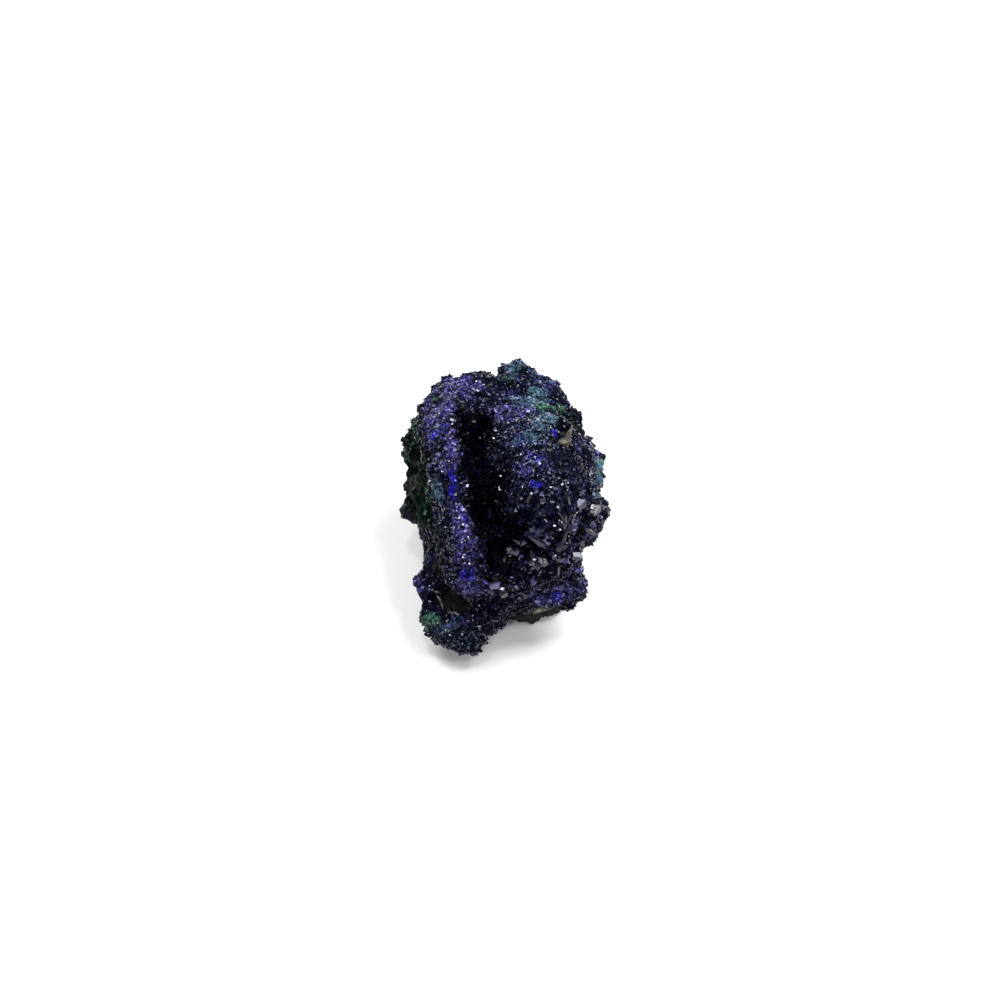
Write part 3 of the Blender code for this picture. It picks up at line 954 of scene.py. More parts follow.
def write_number(mesh: bpy.types.Mesh, name: str, values: np.ndarray) -> None:
    """Store one number for each vertex."""
    layer = mesh.attributes.new(name, "FLOAT", "POINT")
    layer.data.foreach_set("value", values.astype(np.float32))


def write_tones(mesh: bpy.types.Mesh, table: np.ndarray) -> None:
    """Store the six tones of each vertex as two colour attributes.

    Args:
        mesh: The mesh.
        table: One row of six tones for each vertex.
    """
    for name, first in (("blue_tones", 0), ("stain_tones", 3)):
        layer = mesh.attributes.new(name, "FLOAT_COLOR", "POINT")
        rows = np.ones((len(table), 4), dtype=np.float32)
        rows[:, :3] = table[:, first : first + 3]
        layer.data.foreach_set("color", rows.ravel())


def node_copy(frame: dict, names: tuple[str, ...]) -> bpy.types.Object:
    """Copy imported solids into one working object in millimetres, with their loose triangles merged.

    Args:
        names: The nodes.

    Returns:
        The working object.
    """
    shape = bmesh.new()
    for name in names:
        shape.from_mesh(frame["nodes"][name].data)
    bmesh.ops.remove_doubles(shape, verts=shape.verts[:], dist=MERGE_DISTANCE)
    bmesh.ops.scale(shape, vec=(1.0 / MM,) * 3, verts=shape.verts[:])
    return link("working", as_mesh(shape, "working"))


def finished_by(item: bpy.types.Object, kind: str, **settings: object) -> bpy.types.Object:
    """Put one modifier on an object and turn its result into the object's plain mesh.

    Args:
        item: The object.
        kind: The modifier's type.
        settings: The modifier's own settings.

    Returns:
        The same object.
    """
    step = item.modifiers.new(kind.lower(), kind)
    for name, value in settings.items():
        setattr(step, name, value)
    mesh = plain_mesh(item, item.name)
    item.modifiers.clear()
    old, item.data = item.data, mesh
    bpy.data.meshes.remove(old)
    return item


def remeshed(item: bpy.types.Object, voxel: float) -> bpy.types.Object:
    """Melt an object into one skin on a grid of the given step."""
    return finished_by(item, "REMESH", mode="VOXEL", voxel_size=voxel)


def swell(item: bpy.types.Object, distance: float) -> bpy.types.Object:
    """Push an object's skin out along its normals, or in where the distance is below 0."""
    place_vertices(item.data, coordinates(item.data) + distance * normals(item.data))
    return item


def keep_above_ground(mesh: bpy.types.Mesh) -> None:
    """Keep every vertex on or above the ground.

    Args:
        mesh: The mesh.
    """
    places = coordinates(mesh)
    places[:, 2] = np.maximum(places[:, 2], 0.0)
    place_vertices(mesh, places)


def skin_tree(mesh: bpy.types.Mesh) -> BVHTree:
    """Make a search tree over a mesh."""
    return BVHTree.FromPolygons(
        [vertex.co for vertex in mesh.vertices], [polygon.vertices for polygon in mesh.polygons]
    )


def triangles(mesh: bpy.types.Mesh) -> int:
    """Count a mesh's triangles."""
    return sum(len(polygon.vertices) - 2 for polygon in mesh.polygons)


@dataclass
class AzuriteSkin:
    """The azurite under the crystals: one lumpy skin over the mass and the cleft's lining.

    Args:
        nodes: The solids that it covers.
        voxel: The step of the grid that it is melted on. This and all lengths are in millimetres.
        close: How wide half a gap is that the skin closes.
        sink: How far below the solids' faces it lies.
        smoothing: How strongly each pass smooths it, and how many passes there are.
        lumps: Its lumps.
        calm: How much lower the lumps are where no crystals stand.
        veins: The net of raised lines on its bare places.
        vein_green: How green these lines are painted on bare places, a painted highlight along their crests
            in malachite green.
        vein_edge: The power that narrows that painted green.
        vein_edge: The power that narrows their green.
        wrinkles: The finer wrinkles there.
        foot: How high above the ground the lowest crystals stand.
        downward: How far down a normal points where no crystals stand.
        borders: What makes the regions' borders ragged.
        bulges: Where it swells over the solids, or draws back.
        colours: Where its colours are.
        grain: Where its crystals are.
    """

    nodes: tuple[str, str] = ("azurite_mass", "cleft_crystals")
    voxel: float = 0.13
    close: float = 0.18
    sink: float = 0.12
    smoothing: tuple[float, int] = (0.5, 3)
    lumps: Relief = Relief(((1.6, 0.5), (0.75, 0.36), (0.4, 0.14)), seed=4)
    calm: float = 0.5
    veins: Crests = Crests(spacing=1.1, height=0.2, level=0.3, seed=6)
    vein_green: float = 0.5
    vein_edge: int = 2
    wrinkles: Crests = Crests(spacing=0.42, height=0.13, level=0.5, seed=8)
    foot: float = 0.3
    downward: float = -0.97
    borders: Waver = Waver(spacing=1.2, depth=0.7, seed=3)
    bulges: tuple[Patch, ...] = (
        Patch((5.9, 1.1, 6.3), (1.0, 1.3, 1.2), 0.34),
        Patch((6.2, 3.2, 6.5), (0.8, 0.9, 1.0), -0.55),
        Patch((-5.7, 1.7, 5.4), (1.0, 1.2, 1.4), 0.22),
        Patch((-5.6, 0.3, 5.4), (0.9, 0.8, 1.2), 0.15),
        Patch((3.6, 5.8, 7.6), (0.6, 0.6, 0.8), 0.2),
        Patch((3.9, 4.9, 7.4), (0.9, 0.8, 1.0), 0.2),
        Patch((-1.6, 6.9, 8.3), (1.6, 0.6, 0.8), 0.2),
        Patch((-3.6, -8.4, 1.6), (1.4, 0.8, 1.2), 0.14),
    )
    colours: ColourMap = field(default_factory=ColourMap)
    grain: GrainMap = field(default_factory=GrainMap)

    def shape(self, frame: dict) -> bpy.types.Object:
        """Melt the two solids into one skin that lies a little below their faces.


        Returns:
            The working object, in millimetres.
        """
        skin = remeshed(node_copy(frame, self.nodes), self.voxel)
        skin = remeshed(swell(skin, self.close), self.voxel)
        skin = remeshed(swell(skin, -self.close - self.sink), self.voxel)
        factor, passes = self.smoothing
        skin = finished_by(skin, "SMOOTH", factor=factor, iterations=passes)
        places = coordinates(skin.data)
        bare = 1.0 - self.grain.cover_at(places)
        rise = self.lumps.heights(places) * (1.0 - self.calm * bare)
        rise += self.veins.heights(places, bare)
        rise += self.wrinkles.heights(places, bare)
        rise += sum(bulge.weights(places) for bulge in self.bulges)
        place_vertices(skin.data, places + rise[:, None] * normals(skin.data))
        keep_above_ground(skin.data)
        return skin

    def describe(self, skin: bpy.types.Object, frame: dict) -> None:
        """Store the tones, the crystal size, the cover and the region of each vertex.

        Args:
            skin: The working object, in millimetres.
        """
        mesh = skin.data
        places = coordinates(mesh)
        tones = self.colours.tones(places)
        cover = self.grain.cover_at(places)
        # green painted along the crests of bare places: painted highlight for their gleam, in malachite green
        veins = (1.0 - cover) * self.veins.nearness(places) ** self.vein_edge
        green = Tone.MALACHITE.value
        tones[:, green] = np.maximum(tones[:, green], self.vein_green * veins)
        write_tones(mesh, tones)
        write_number(mesh, "grain", self.grain.sizes_at(places))
        low = (places[:, 2] < self.foot) | (normals(mesh)[:, 2] < self.downward)
        shares = {"cover": cover, "grit": self.grain.fine_at(places), "bladed": self.grain.blades_at(places)}
        for name, share in shares.items():
            write_number(mesh, name, np.where(low, 0.0, share))
        write_number(mesh, "region", self.regions(places, frame))

    def regions(self, places: np.ndarray, frame: dict) -> np.ndarray:
        """Name each place's region by its number, with ragged borders.

        Args:
            places: One row of X, Y and Z for each place.

        Returns:
            The region's number at each place.
        """
        outer = [region for region in Region if region is not Region.CLEFT]
        centres = np.array([region.middle for region in outer])
        reach = np.linalg.norm(self.borders.shift(places)[:, None, :] - centres[None, :, :], axis=2)
        numbers = np.array([region.order for region in outer])[np.argmin(reach, axis=1)]
        mass, lining = (skin_tree(frame["nodes"][name].data) for name in self.nodes)
        for index, place in enumerate(places):
            point = Vector(place) * MM
            if lining.find_nearest(point)[3] < mass.find_nearest(point)[3]:
                numbers[index] = Region.CLEFT.order
        return numbers

    def dress(self, skin: bpy.types.Object, finish: bpy.types.Material) -> bpy.types.Object:
        """Make the skin a finished piece in metres.

        Args:
            skin: The described skin, in millimetres.
            finish: Its material.

        Returns:
            The piece.
        """
        mesh = skin.data
        bpy.data.objects.remove(skin, do_unlink=True)
        mesh.shade_smooth()
        piece = ride(mesh, "azurite_skin", finish)
        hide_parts(*self.nodes)
        return piece


@dataclass(frozen=True)
class Blade:
    """One crystal that stands out by its size.

    Args:
        name: What it is called; nothing reads it.
        root: Where it grows, in millimetres.
        lean: Which way it points.
        size: Width, thickness and height above the skin.
        turn: Degrees about its own length.
        tone: The colour that it takes, if it isn't plain.
        tint: Its own shade, from 0 to 1.
        flat: Whether it ends in one flat face instead of a chisel edge.
    """

    name: str
    root: Triple
    lean: Triple
    size: Triple
    turn: float
    tone: Tone | None = None
    tint: float = 0.5
    flat: bool = False

    def corners(self, skin: BVHTree) -> list[Vector]:
        """Work out its corners where it stands on the skin.

        Args:
            skin: The skin's search tree, in millimetres.

        Returns:
            Corners of its convex solid.
        """
        root, normal, _, _ = skin.find_nearest(Vector(self.root))
        along = 0.0 if self.flat else NORMAL_SHARE
        lean = Vector(self.lean).normalized() * (1.0 - along) + normal * along
        frame = lean.to_track_quat("Z", "Y").to_matrix().to_4x4()
        place = Matrix.Translation(root) @ frame @ Matrix.Rotation(math.radians(self.turn), 4, "Z")
        scale = Matrix.Diagonal((*self.size, 1.0))
        return [place @ scale @ corner for corner in (TABLET if self.flat else CHISEL).corners()]


CHISEL = Habit(FIVE_SIDED, 1.0, 1.0, 0.8, 0.24, 0.7, pointed=False)
TABLET = Habit(FIVE_SIDED, 1.0, 1.0, 0.8, 0.0, 0.5, pointed=False, bevel=0.0, rise=0.0)
NORMAL_SHARE = 0.15  # how much a blade's lean is turned towards the skin's normal


@dataclass
class Blades:
    """The crystals that stand out by their size, in one piece.

    Args:
        blades: Those that are seen one by one.
        glints: Root and width of each small flat crystal that catches the light.
        glint_lean: Which way the flat crystals face.
        glint_form: Their width and thickness as shares of the width given, and their height.
        glint_turn: Degrees from one to the next.
    """

    # blades with the ochre tone are painted pale slate grey, partly painted reflection
    blades: tuple[Blade, ...] = (
        Blade("pair_left", (-0.5, -6.65, 5.5), (-0.2, -0.5, 0.85), (0.8, 0.62, 0.5), 35, Tone.VIOLET, 0.995),
        Blade("pair_right", (-0.2, -6.95, 4.7), (0.1, -0.6, 0.8), (0.6, 0.5, 0.45), 30, Tone.OCHRE, 0.96),
        Blade("long_blade", (1.85, -5.2, 8.2), (0.1, -0.65, 0.75), (1.8, 0.5, 0.42), -41, Tone.VIOLET, 0.3),
        Blade("pale_lath", (3.55, -4.85, 9.2), (0.1, -0.5, 0.85), (2.0, 0.11, 0.42), 62, Tone.OCHRE, 0.51),
        Blade("cross_lath", (3.4, -4.7, 9.75), (0.0, -0.5, 0.85), (1.0, 0.14, 0.4), -46, Tone.OCHRE, 0.43),
        Blade("cheek_top", (5.35, -2.75, 7.7), (0.4, -0.5, 0.7), (0.9, 0.6, 0.4), 10, Tone.OCHRE, 0.5),
        Blade("cheek_fan_high", (4.9, -4.0, 7.4), (0.3, -0.6, 0.7), (1.1, 0.35, 0.4), -62, Tone.TEAL, 0.3),
        Blade("cheek_fan_low", (4.65, -4.2, 7.0), (0.2, -0.8, 0.5), (0.9, 0.35, 0.4), -50, Tone.TEAL, 0.6),
        Blade("shoulder_block", (4.45, -3.2, 9.0), (0.3, -0.35, 0.9), (0.8, 0.65, 0.4), 10, Tone.VIOLET, 0.2),
        Blade("shoulder_chip", (3.35, -3.95, 10.0), (0.1, -0.4, 0.9), (0.6, 0.5, 0.35), 40, Tone.TEAL, 0.4),
        Blade("teal_block", (5.5, -2.1, 7.85), (0.4, -0.4, 0.8), (0.6, 0.45, 0.3), 0, Tone.MALACHITE, 0.7),
        Blade("wedge", (1.3, -5.4, 8.1), (-0.1, -0.7, 0.7), (0.6, 0.45, 0.4), 70, Tone.TEAL, 0.4),
        Blade("middle_chip", (2.8, -4.95, 8.5), (0.0, -0.7, 0.7), (0.6, 0.45, 0.4), 30, Tone.TEAL),
        Blade("upright_lath", (1.52, -5.9, 7.6), (0.1, -0.7, 0.7), (0.8, 0.16, 0.4), 97, Tone.OCHRE, 0.49),
        Blade("pale_chip", (3.5, -5.3, 7.2), (0.1, -0.6, 0.8), (0.8, 0.5, 0.35), 20, Tone.OCHRE),
        Blade("low_chip", (2.4, -6.3, 7.5), (0.0, -0.8, 0.6), (0.8, 0.5, 0.4), -20, Tone.TEAL, 0.3),
        Blade("bright_facet", (1.65, -6.2, 7.2), (0.0, -0.6, 0.8), (0.5, 0.4, 0.35), 30, Tone.OCHRE, 0.6),
        Blade("front_slab", (0.6, -6.0, 7.7), (-0.1, -0.7, 0.7), (1.0, 0.5, 0.45), 5),
        Blade("edge_block", (4.3, -5.85, 7.1), (0.3, -0.6, 0.7), (0.7, 0.55, 0.3), -30, Tone.VIOLET, 0.2),
        Blade("crest_streak", (1.4, -3.75, 10.3), (0.1, -0.4, 0.9), (0.7, 0.22, 0.3), 65, Tone.OCHRE, 0.9),
        Blade("cleft_block", (0.1, -2.0, 7.6), (-0.5, -0.4, 0.8), (0.5, 0.4, 0.3), 40, Tone.TEAL),
    )
    glints: tuple[tuple[Triple, float], ...] = (
        ((-3.0, 1.8, 10.3), 0.3), ((-3.05, 1.6, 10.1), 0.16), ((-0.39, -1.83, 8.6), 0.36),
        ((-0.57, 1.28, 9.66), 0.18), ((-0.5, 1.7, 9.4), 0.2), ((-2.0, -2.3, 9.4), 0.26),
        ((-1.56, 6.26, 8.46), 0.22), ((-1.43, 5.28, 8.73), 0.22), ((-1.0, 5.95, 8.6), 0.18),
        ((-0.3, -4.6, 7.3), 0.18), ((-0.27, -2.4, 8.4), 0.18), ((-0.21, -1.66, 9.58), 0.16),
        ((0.38, -1.82, 10.31), 0.18), ((0.73, 1.47, 10.9), 0.18), ((1.02, -1.14, 10.87), 0.16),
        ((1.47, 3.65, 8.98), 0.26), ((3.42, 4.63, 7.88), 0.18), ((2.18, -1.75, 11.1), 0.2),
        ((2.76, -3.31, 10.7), 0.22), ((3.53, -2.83, 10.3), 0.22), ((1.6, -3.59, 10.38), 0.2),
        ((3.27, -4.4, 10.0), 0.16), ((2.94, -5.1, 9.2), 0.22), ((5.34, -2.77, 7.89), 0.42),
        ((4.36, -3.92, 8.7), 0.16), ((3.29, -5.3, 8.98), 0.16), ((4.09, -4.76, 7.13), 0.2),
        ((4.57, -4.75, 6.6), 0.2), ((1.7, -4.2, 7.5), 0.16), ((1.66, -6.32, 7.5), 0.24),
        ((2.83, -6.19, 7.5), 0.16), ((-2.31, -4.57, 8.73), 0.2), ((-2.61, -4.38, 8.86), 0.16),
        ((-4.39, -1.88, 9.1), 0.2), ((-2.38, -5.86, 6.98), 0.18), ((-2.03, -6.05, 6.84), 0.18),
        ((-0.09, -6.96, 5.1), 0.32), ((2.9, -6.1, 4.3), 0.2),
    )
    glint_lean: Triple = (-0.056, -0.276, 0.96)
    glint_form: Triple = (0.85, 0.6, 0.35)
    glint_turn: float = 50.0

    def all_blades(self) -> list[Blade]:
        """List the blades and the small flat crystals that catch the light.

        Returns:
            The blades, then the flat crystals.
        """
        wide, thick, tall = self.glint_form
        flats = []
        for index, (root, width) in enumerate(self.glints):
            size = (wide * width, thick * width, tall)
            turn = self.glint_turn * index
            flats.append(Blade(f"glint_{index}", root, self.glint_lean, size, turn, flat=True))
        return [*self.blades, *flats]

    def build(self, skin: bpy.types.Object, finish: bpy.types.Material) -> bpy.types.Object:
        """Make the piece.

        Args:
            skin: The described skin, in millimetres.
            finish: The crystals' material.

        Returns:
            The piece, in metres.
        """
        tree = skin_tree(skin.data)
        shape = bmesh.new()
        tints, tones = [], []
        for blade in self.all_blades():
            count = len(shape.verts)
            add_hull(shape, blade.corners(tree))
            added = len(shape.verts) - count
            tints += [blade.tint] * added
            tones += [[float(tone is blade.tone) for tone in Tone]] * added
        mesh = as_mesh(shape, "large_crystals", outward=True)
        write_tones(mesh, np.array(tones))
        write_number(mesh, "tint", np.array(tints))
        return ride(mesh, "large_crystals", finish)


def ride(mesh: bpy.types.Mesh, name: str, finish: bpy.types.Material) -> bpy.types.Object:
    """Bring a mesh to metres and make it a piece of the specimen.

    Args:
        mesh: The mesh, in millimetres.
        name: The piece's name.
        finish: Its material.

    Returns:
        The piece.
    """
    keep_above_ground(mesh)
    place_vertices(mesh, coordinates(mesh) * MM)
    mesh.name = name
    mesh.materials.clear()
    mesh.materials.append(finish)
    piece = link(name, mesh)
    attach(piece, "root")
    LOG.info("%s: %d triangles", name, triangles(mesh))
    return piece


@dataclass
class LimoniteRock:
    """The host rock under the azurite, earthy and cut flat below.

    Args:
        node: The solid that it covers.
        voxel: The step of the grid that it is melted on, in millimetres.
        swell_by: How far it swells over the solid, in millimetres.
        lumps: Its lumps.
    """

    node: str = "limonite_matrix"
    voxel: float = 0.13
    swell_by: float = 0.1
    lumps: Relief = Relief(((0.9, 0.24), (0.4, 0.2), (0.2, 0.1)), seed=9)

    def build(self, frame: dict, colours: ColourMap, finish: bpy.types.Material) -> bpy.types.Object:
        """Make the piece.

        Args:
            colours: The specimen's tones.
            finish: The rock's material.

        Returns:
            The piece, in metres.
        """
        rock = remeshed(node_copy(frame, (self.node,)), self.voxel)
        rock = remeshed(swell(rock, self.swell_by), self.voxel)
        mesh = rock.data
        places = coordinates(mesh)
        place_vertices(mesh, places + self.lumps.heights(places)[:, None] * normals(mesh))
        bpy.data.objects.remove(rock, do_unlink=True)
        write_tones(mesh, colours.tones(coordinates(mesh)))
        mesh.shade_smooth()
        piece = ride(mesh, "limonite_rock", finish)
        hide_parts(self.node)
        return piece


LEAF_BLUNT = 0.08  # how much of a leaf is cut off at each end
LEAF_FULLNESS = 0.7  # below 1, a leaf is fuller than an arch
WEDGE_TIP = 0.04  # the width left at a wedge's point
LEAF_SWING = (0.12, 3.0)  # how far a leaf swings aside, in its lengths, and through which angle
FLAKE_BEVEL = 0.8  # the width of a flake's upper face as a share of its own
SIDES = 4  # corners of a flake's cross-section


@dataclass(frozen=True)
class Flake:
    """One thin curved flake of limonite.

    Args:
        root: Its middle, in millimetres.
        facing: Which way its broad side looks.
        length: Its length.
        width: Its width at the middle.
        curl: How far its ends bend back.
        turn: Degrees about the way it faces.
        taper: 0 where it is a leaf, 1 where it is a wedge with a point at its far end.
        lift: How far it stands off the skin.
        thick: How far its upper side stands over the plane of its root.
        stain: How tan it is, from 0 to 1.
        sink: How far its underside reaches below that plane.
    """

    root: Triple
    facing: Triple
    length: float
    width: float
    curl: float
    turn: float
    taper: float = 0.0
    lift: float = 0.12
    thick: float = 0.07
    stain: float = 1.0
    sink: float = 0.0

    def outline(self, steps: int) -> list[list[Vector]]:
        """Work out its cross-sections from end to end.

        Args:
            steps: How many stretches it has.

        Returns:
            A ring of four points for each cross-section.
        """
        swing, bends = LEAF_SWING
        rings = []
        for index in range(steps + 1):
            share = index / steps
            along = (share - 0.5) * self.length
            leaf = math.sin(math.pi * (LEAF_BLUNT + (1.0 - 2.0 * LEAF_BLUNT) * share)) ** LEAF_FULLNESS
            half = 0.5 * self.width * (leaf + self.taper * (1.0 + WEDGE_TIP - share - leaf))
            side = swing * self.length * math.sin(bends * share) * (1.0 - self.taper)
            bend = -self.curl * (2.0 * share - 1.0) ** 2
            low, high, narrow = bend - self.sink, bend + self.thick, half * FLAKE_BEVEL
            ring = ((-half, low), (half, low), (narrow, high), (-narrow, high))
            rings.append([Vector((along, side + across, height)) for across, height in ring])
        return rings


@dataclass
class Flakes:
    """Limonite flakes: tan in the hollow by the nub and under the lip, and a grey shard in the notch.

    Args:
        steps: How many stretches a flake has from end to end.
        flakes: The flakes.
    """

    steps: int = 9
    flakes: tuple[Flake, ...] = (
        Flake((-3.8, -6.0, 3.0), (-0.1, -0.6, 0.8), 1.35, 0.14, 0.2, -58),
        Flake((-3.95, -5.75, 3.25), (-0.2, -0.7, 0.7), 0.5, 0.12, 0.1, -10),
        Flake((-3.0, -7.1, 3.0), (0.1, -0.6, 0.8), 0.8, 0.12, 0.1, -25),
        Flake(
            (3.72, 0.25, 10.9), (-0.1, -0.3, 0.95), 1.35, 0.56, 0.1, 84,
            taper=1.0, lift=0.17, thick=0.16, stain=0.87, sink=0.3,
        ),
        Flake(
            (3.5, -0.2, 10.8), (-0.1, -0.4, 0.9), 0.85, 0.42, 0.05, 28,
            lift=0.21, thick=0.16, stain=0.87, sink=0.26,
        ),
        Flake((2.3, -6.7, 2.9), (0.1, -0.6, 0.8), 1.1, 0.32, 0.1, 8, lift=0.3),
    )

    def build(self, skin: bpy.types.Object, finish: bpy.types.Material) -> bpy.types.Object:
        """Make the piece.

        Args:
            skin: The skin that carries the flakes, in millimetres.
            finish: The flakes' material.

        Returns:
            The piece, in metres.
        """
        tree = skin_tree(skin.data)
        shape = bmesh.new()
        for flake in self.flakes:
            root, normal, _, _ = tree.find_nearest(Vector(flake.root))
            frame = Vector(flake.facing).to_track_quat("Z", "Y").to_matrix().to_4x4()
            turn = Matrix.Rotation(math.radians(flake.turn), 4, "Z")
            place = Matrix.Translation(root + normal * flake.lift) @ frame @ turn
            outline = flake.outline(self.steps)
            rings = [[shape.verts.new(place @ corner) for corner in ring] for ring in outline]
            for ring, after in zip(rings, rings[1:]):
                for index in range(SIDES):
                    near = (index + 1) % SIDES
                    shape.faces.new((ring[index], ring[near], after[near], after[index]))
            shape.faces.new(rings[0][::-1])
            shape.faces.new(rings[-1])
        mesh = as_mesh(shape, "limonite_flakes", outward=True)
        tones = np.zeros((len(mesh.vertices), len(Tone)))
        stains = [flake.stain for flake in self.flakes]
        tones[:, Tone.OCHRE.value] = np.repeat(stains, SIDES * (self.steps + 1))
        write_tones(mesh, tones)
        return ride(mesh, "limonite_flakes", finish)


AZURITE_COLOURS: dict[str, Triple] = {
    "Deep": (0.0032, 0.0037, 0.0118),
    "Violet": (0.030, 0.026, 0.125),
    "Bright violet": (0.130, 0.117, 0.400),
    # pale lilac of a few crystals: partly their own tone, partly painted highlight for their sparkle
    "Lilac": (0.290, 0.270, 0.520),
    "Ultramarine": (0.011, 0.008, 0.300),
    "Teal": (0.056, 0.112, 0.172),
    "Malachite": (0.052, 0.140, 0.092),
    "Moss": (0.0024, 0.0060, 0.0042),
    "Ochre": (0.030, 0.024, 0.014),
}
BLADE_COLOURS: dict[str, Triple] = {
    "Violet": (0.016, 0.015, 0.048),
    "Bright violet": (0.075, 0.070, 0.150),
    "Lilac": (0.016, 0.015, 0.048),
    "Teal": (0.013, 0.015, 0.022),
    "Malachite": (0.018, 0.045, 0.045),
    # on the large crystals the ochre tone is a pale slate grey: partly their own tone, partly painted
    # reflection of the bright surroundings
    "Ochre": (0.052, 0.053, 0.058),
}


@dataclass(frozen=True)
class Zone:
    """How one tone shows on the minerals.

    Args:
        tone: The tone.
        draw: Which draw picks the crystals that stay without it.
        plain: The share of them, or None where every crystal takes it.
    """

    tone: Tone
    draw: float = 0.0
    plain: float | None = None


@dataclass
class MineralTones:
    """The shader node group that mixes the minerals' colours from the tones stored on a mesh.

    Args:
        zones: How the tones show, from the lowest to the uppermost.
        clouds: Scale and detail of the two noises that make a zone patchy.
        level: What the two noises come to on average.
        patchy: How much they move a zone's edge.
        middle: A crystal's own tint on average.
        own: How much a crystal's own tint moves that edge.
        onset: The tone at which a colour sets in.
        steep: How fast it sets in.
        pick: How sharply crystals are picked by their tint.
        bright: Draw, limit and steepness of the bright violet crystals.
        lilac: Draw and limit of the lilac ones, partly painted highlights.
        light: Draw, range and least of each crystal's lightness.
        green_earth: How earthy malachite is beside limonite.
    """

    zones: tuple[Zone, ...] = (
        Zone(Tone.VIOLET, 19.0, 0.15),
        Zone(Tone.ULTRAMARINE, 23.0, 0.1),
        Zone(Tone.TEAL, 13.0, 0.2),
        Zone(Tone.MOSS),
        Zone(Tone.MALACHITE, 17.0, 0.2),
        Zone(Tone.OCHRE),
    )
    clouds: tuple[tuple[float, float], ...] = ((900.0, 2.0), (2600.0, 3.0))
    level: float = 1.0
    patchy: float = 1.1
    middle: float = 0.5
    own: float = 0.4
    onset: float = 0.42
    steep: float = 2.4
    pick: float = 8.0
    bright: Triple = (7.0, 0.66, 3.0)
    lilac: tuple[float, float] = (29.0, 0.87)
    light: Triple = (37.0, 1.1, 0.45)
    green_earth: float = 0.5

    def __post_init__(self) -> None:
        """Build the group once, for every material."""
        self.group = bpy.data.node_groups.new("mineral_tones", "ShaderNodeTree")
        self.make = NodeTree(self.group)
        face = self.group.interface
        face.new_socket("Tint", in_out="INPUT", socket_type="NodeSocketFloat")
        for name in AZURITE_COLOURS:
            face.new_socket(name, in_out="INPUT", socket_type="NodeSocketColor")
        face.new_socket("Colour", in_out="OUTPUT", socket_type="NodeSocketColor")
        face.new_socket("Earth", in_out="OUTPUT", socket_type="NodeSocketFloat")
        self._wire()

    def _lot(self, tint: bpy.types.NodeSocket, draw: float) -> bpy.types.NodeSocket:
        """Draw a number from 0 to 1 for each crystal from its own tint."""
        return self.make.math("FRACT", self.make.math("MULTIPLY", tint, draw))

    def _gate(self, tone: bpy.types.NodeSocket, sway: bpy.types.NodeSocket) -> bpy.types.NodeSocket:
        """Turn a tone's weight into a share that is patchy at its edge."""
        return self.make.above(self.make.math("ADD", tone, sway), self.onset, self.steep)

    def _violet(self, given: bpy.types.bpy_prop_collection) -> bpy.types.NodeSocket:
        """Mix the violet of each crystal, some of them bright and a few pale lilac, which is partly painted
        highlight.

        Args:
            given: The group's inputs.

        Returns:
            The colour.
        """
        draw, least, slope = self.bright
        bright = self.make.above(self._lot(given["Tint"], draw), least, slope)
        # a few crystals turn pale lilac as partly painted highlight
        draw, least = self.lilac
        lilac = self.make.above(self._lot(given["Tint"], draw), least, self.pick)
        violet = self.make.mix(bright, given["Violet"], given["Bright violet"])
        return self.make.mix(lilac, violet, given["Lilac"])

    def _wire(self) -> None:
        """Join the nodes from the stored tones to the colour."""
        make = self.make
        given = make.add("NodeGroupInput").outputs
        stored = [*make.channels(make.stored("blue_tones")), *make.channels(make.stored("stain_tones"))]
        place = make.place()
        broad, close = (make.cloud(place, scale, detail) for scale, detail in self.clouds)
        clouds = make.math("SUBTRACT", make.math("ADD", broad, close), self.level)
        patchy = make.math("MULTIPLY", clouds, self.patchy)
        own = make.math("MULTIPLY", make.math("SUBTRACT", given["Tint"], self.middle), self.own)
        sway = make.math("ADD", patchy, own)
        colour, shares = given["Deep"], {}
        for zone in self.zones:
            share = self._gate(stored[zone.tone.value], patchy if zone.plain is None else sway)
            if zone.plain is not None:
                picked = make.above(self._lot(given["Tint"], zone.draw), zone.plain, self.pick)
                share = make.math("MULTIPLY", share, picked)
            paint = self._violet(given) if zone.tone is Tone.VIOLET else given[zone.tone.name.capitalize()]
            colour = make.mix(share, colour, paint)
            shares[zone.tone] = share
        draw, span, least = self.light
        light = make.math("ADD", make.math("MULTIPLY", self._lot(given["Tint"], draw), span), least)
        toned = make.add("ShaderNodeVectorMath", {0: colour, "Scale": light}, operation="SCALE").outputs[0]
        green = make.math("MULTIPLY", shares[Tone.MALACHITE], self.green_earth)
        earth = make.math("MAXIMUM", green, shares[Tone.OCHRE])
        make.add("NodeGroupOutput", {"Colour": toned, "Earth": earth})


def new_material(name: str) -> tuple[bpy.types.Material, NodeTree]:
    """Start a material.

    Args:
        name: Its name.

    Returns:
        The material and its empty node tree.
    """
    made = bpy.data.materials.new(name)
    made.use_nodes = True
    made.node_tree.nodes.clear()
    return made, NodeTree(made.node_tree)


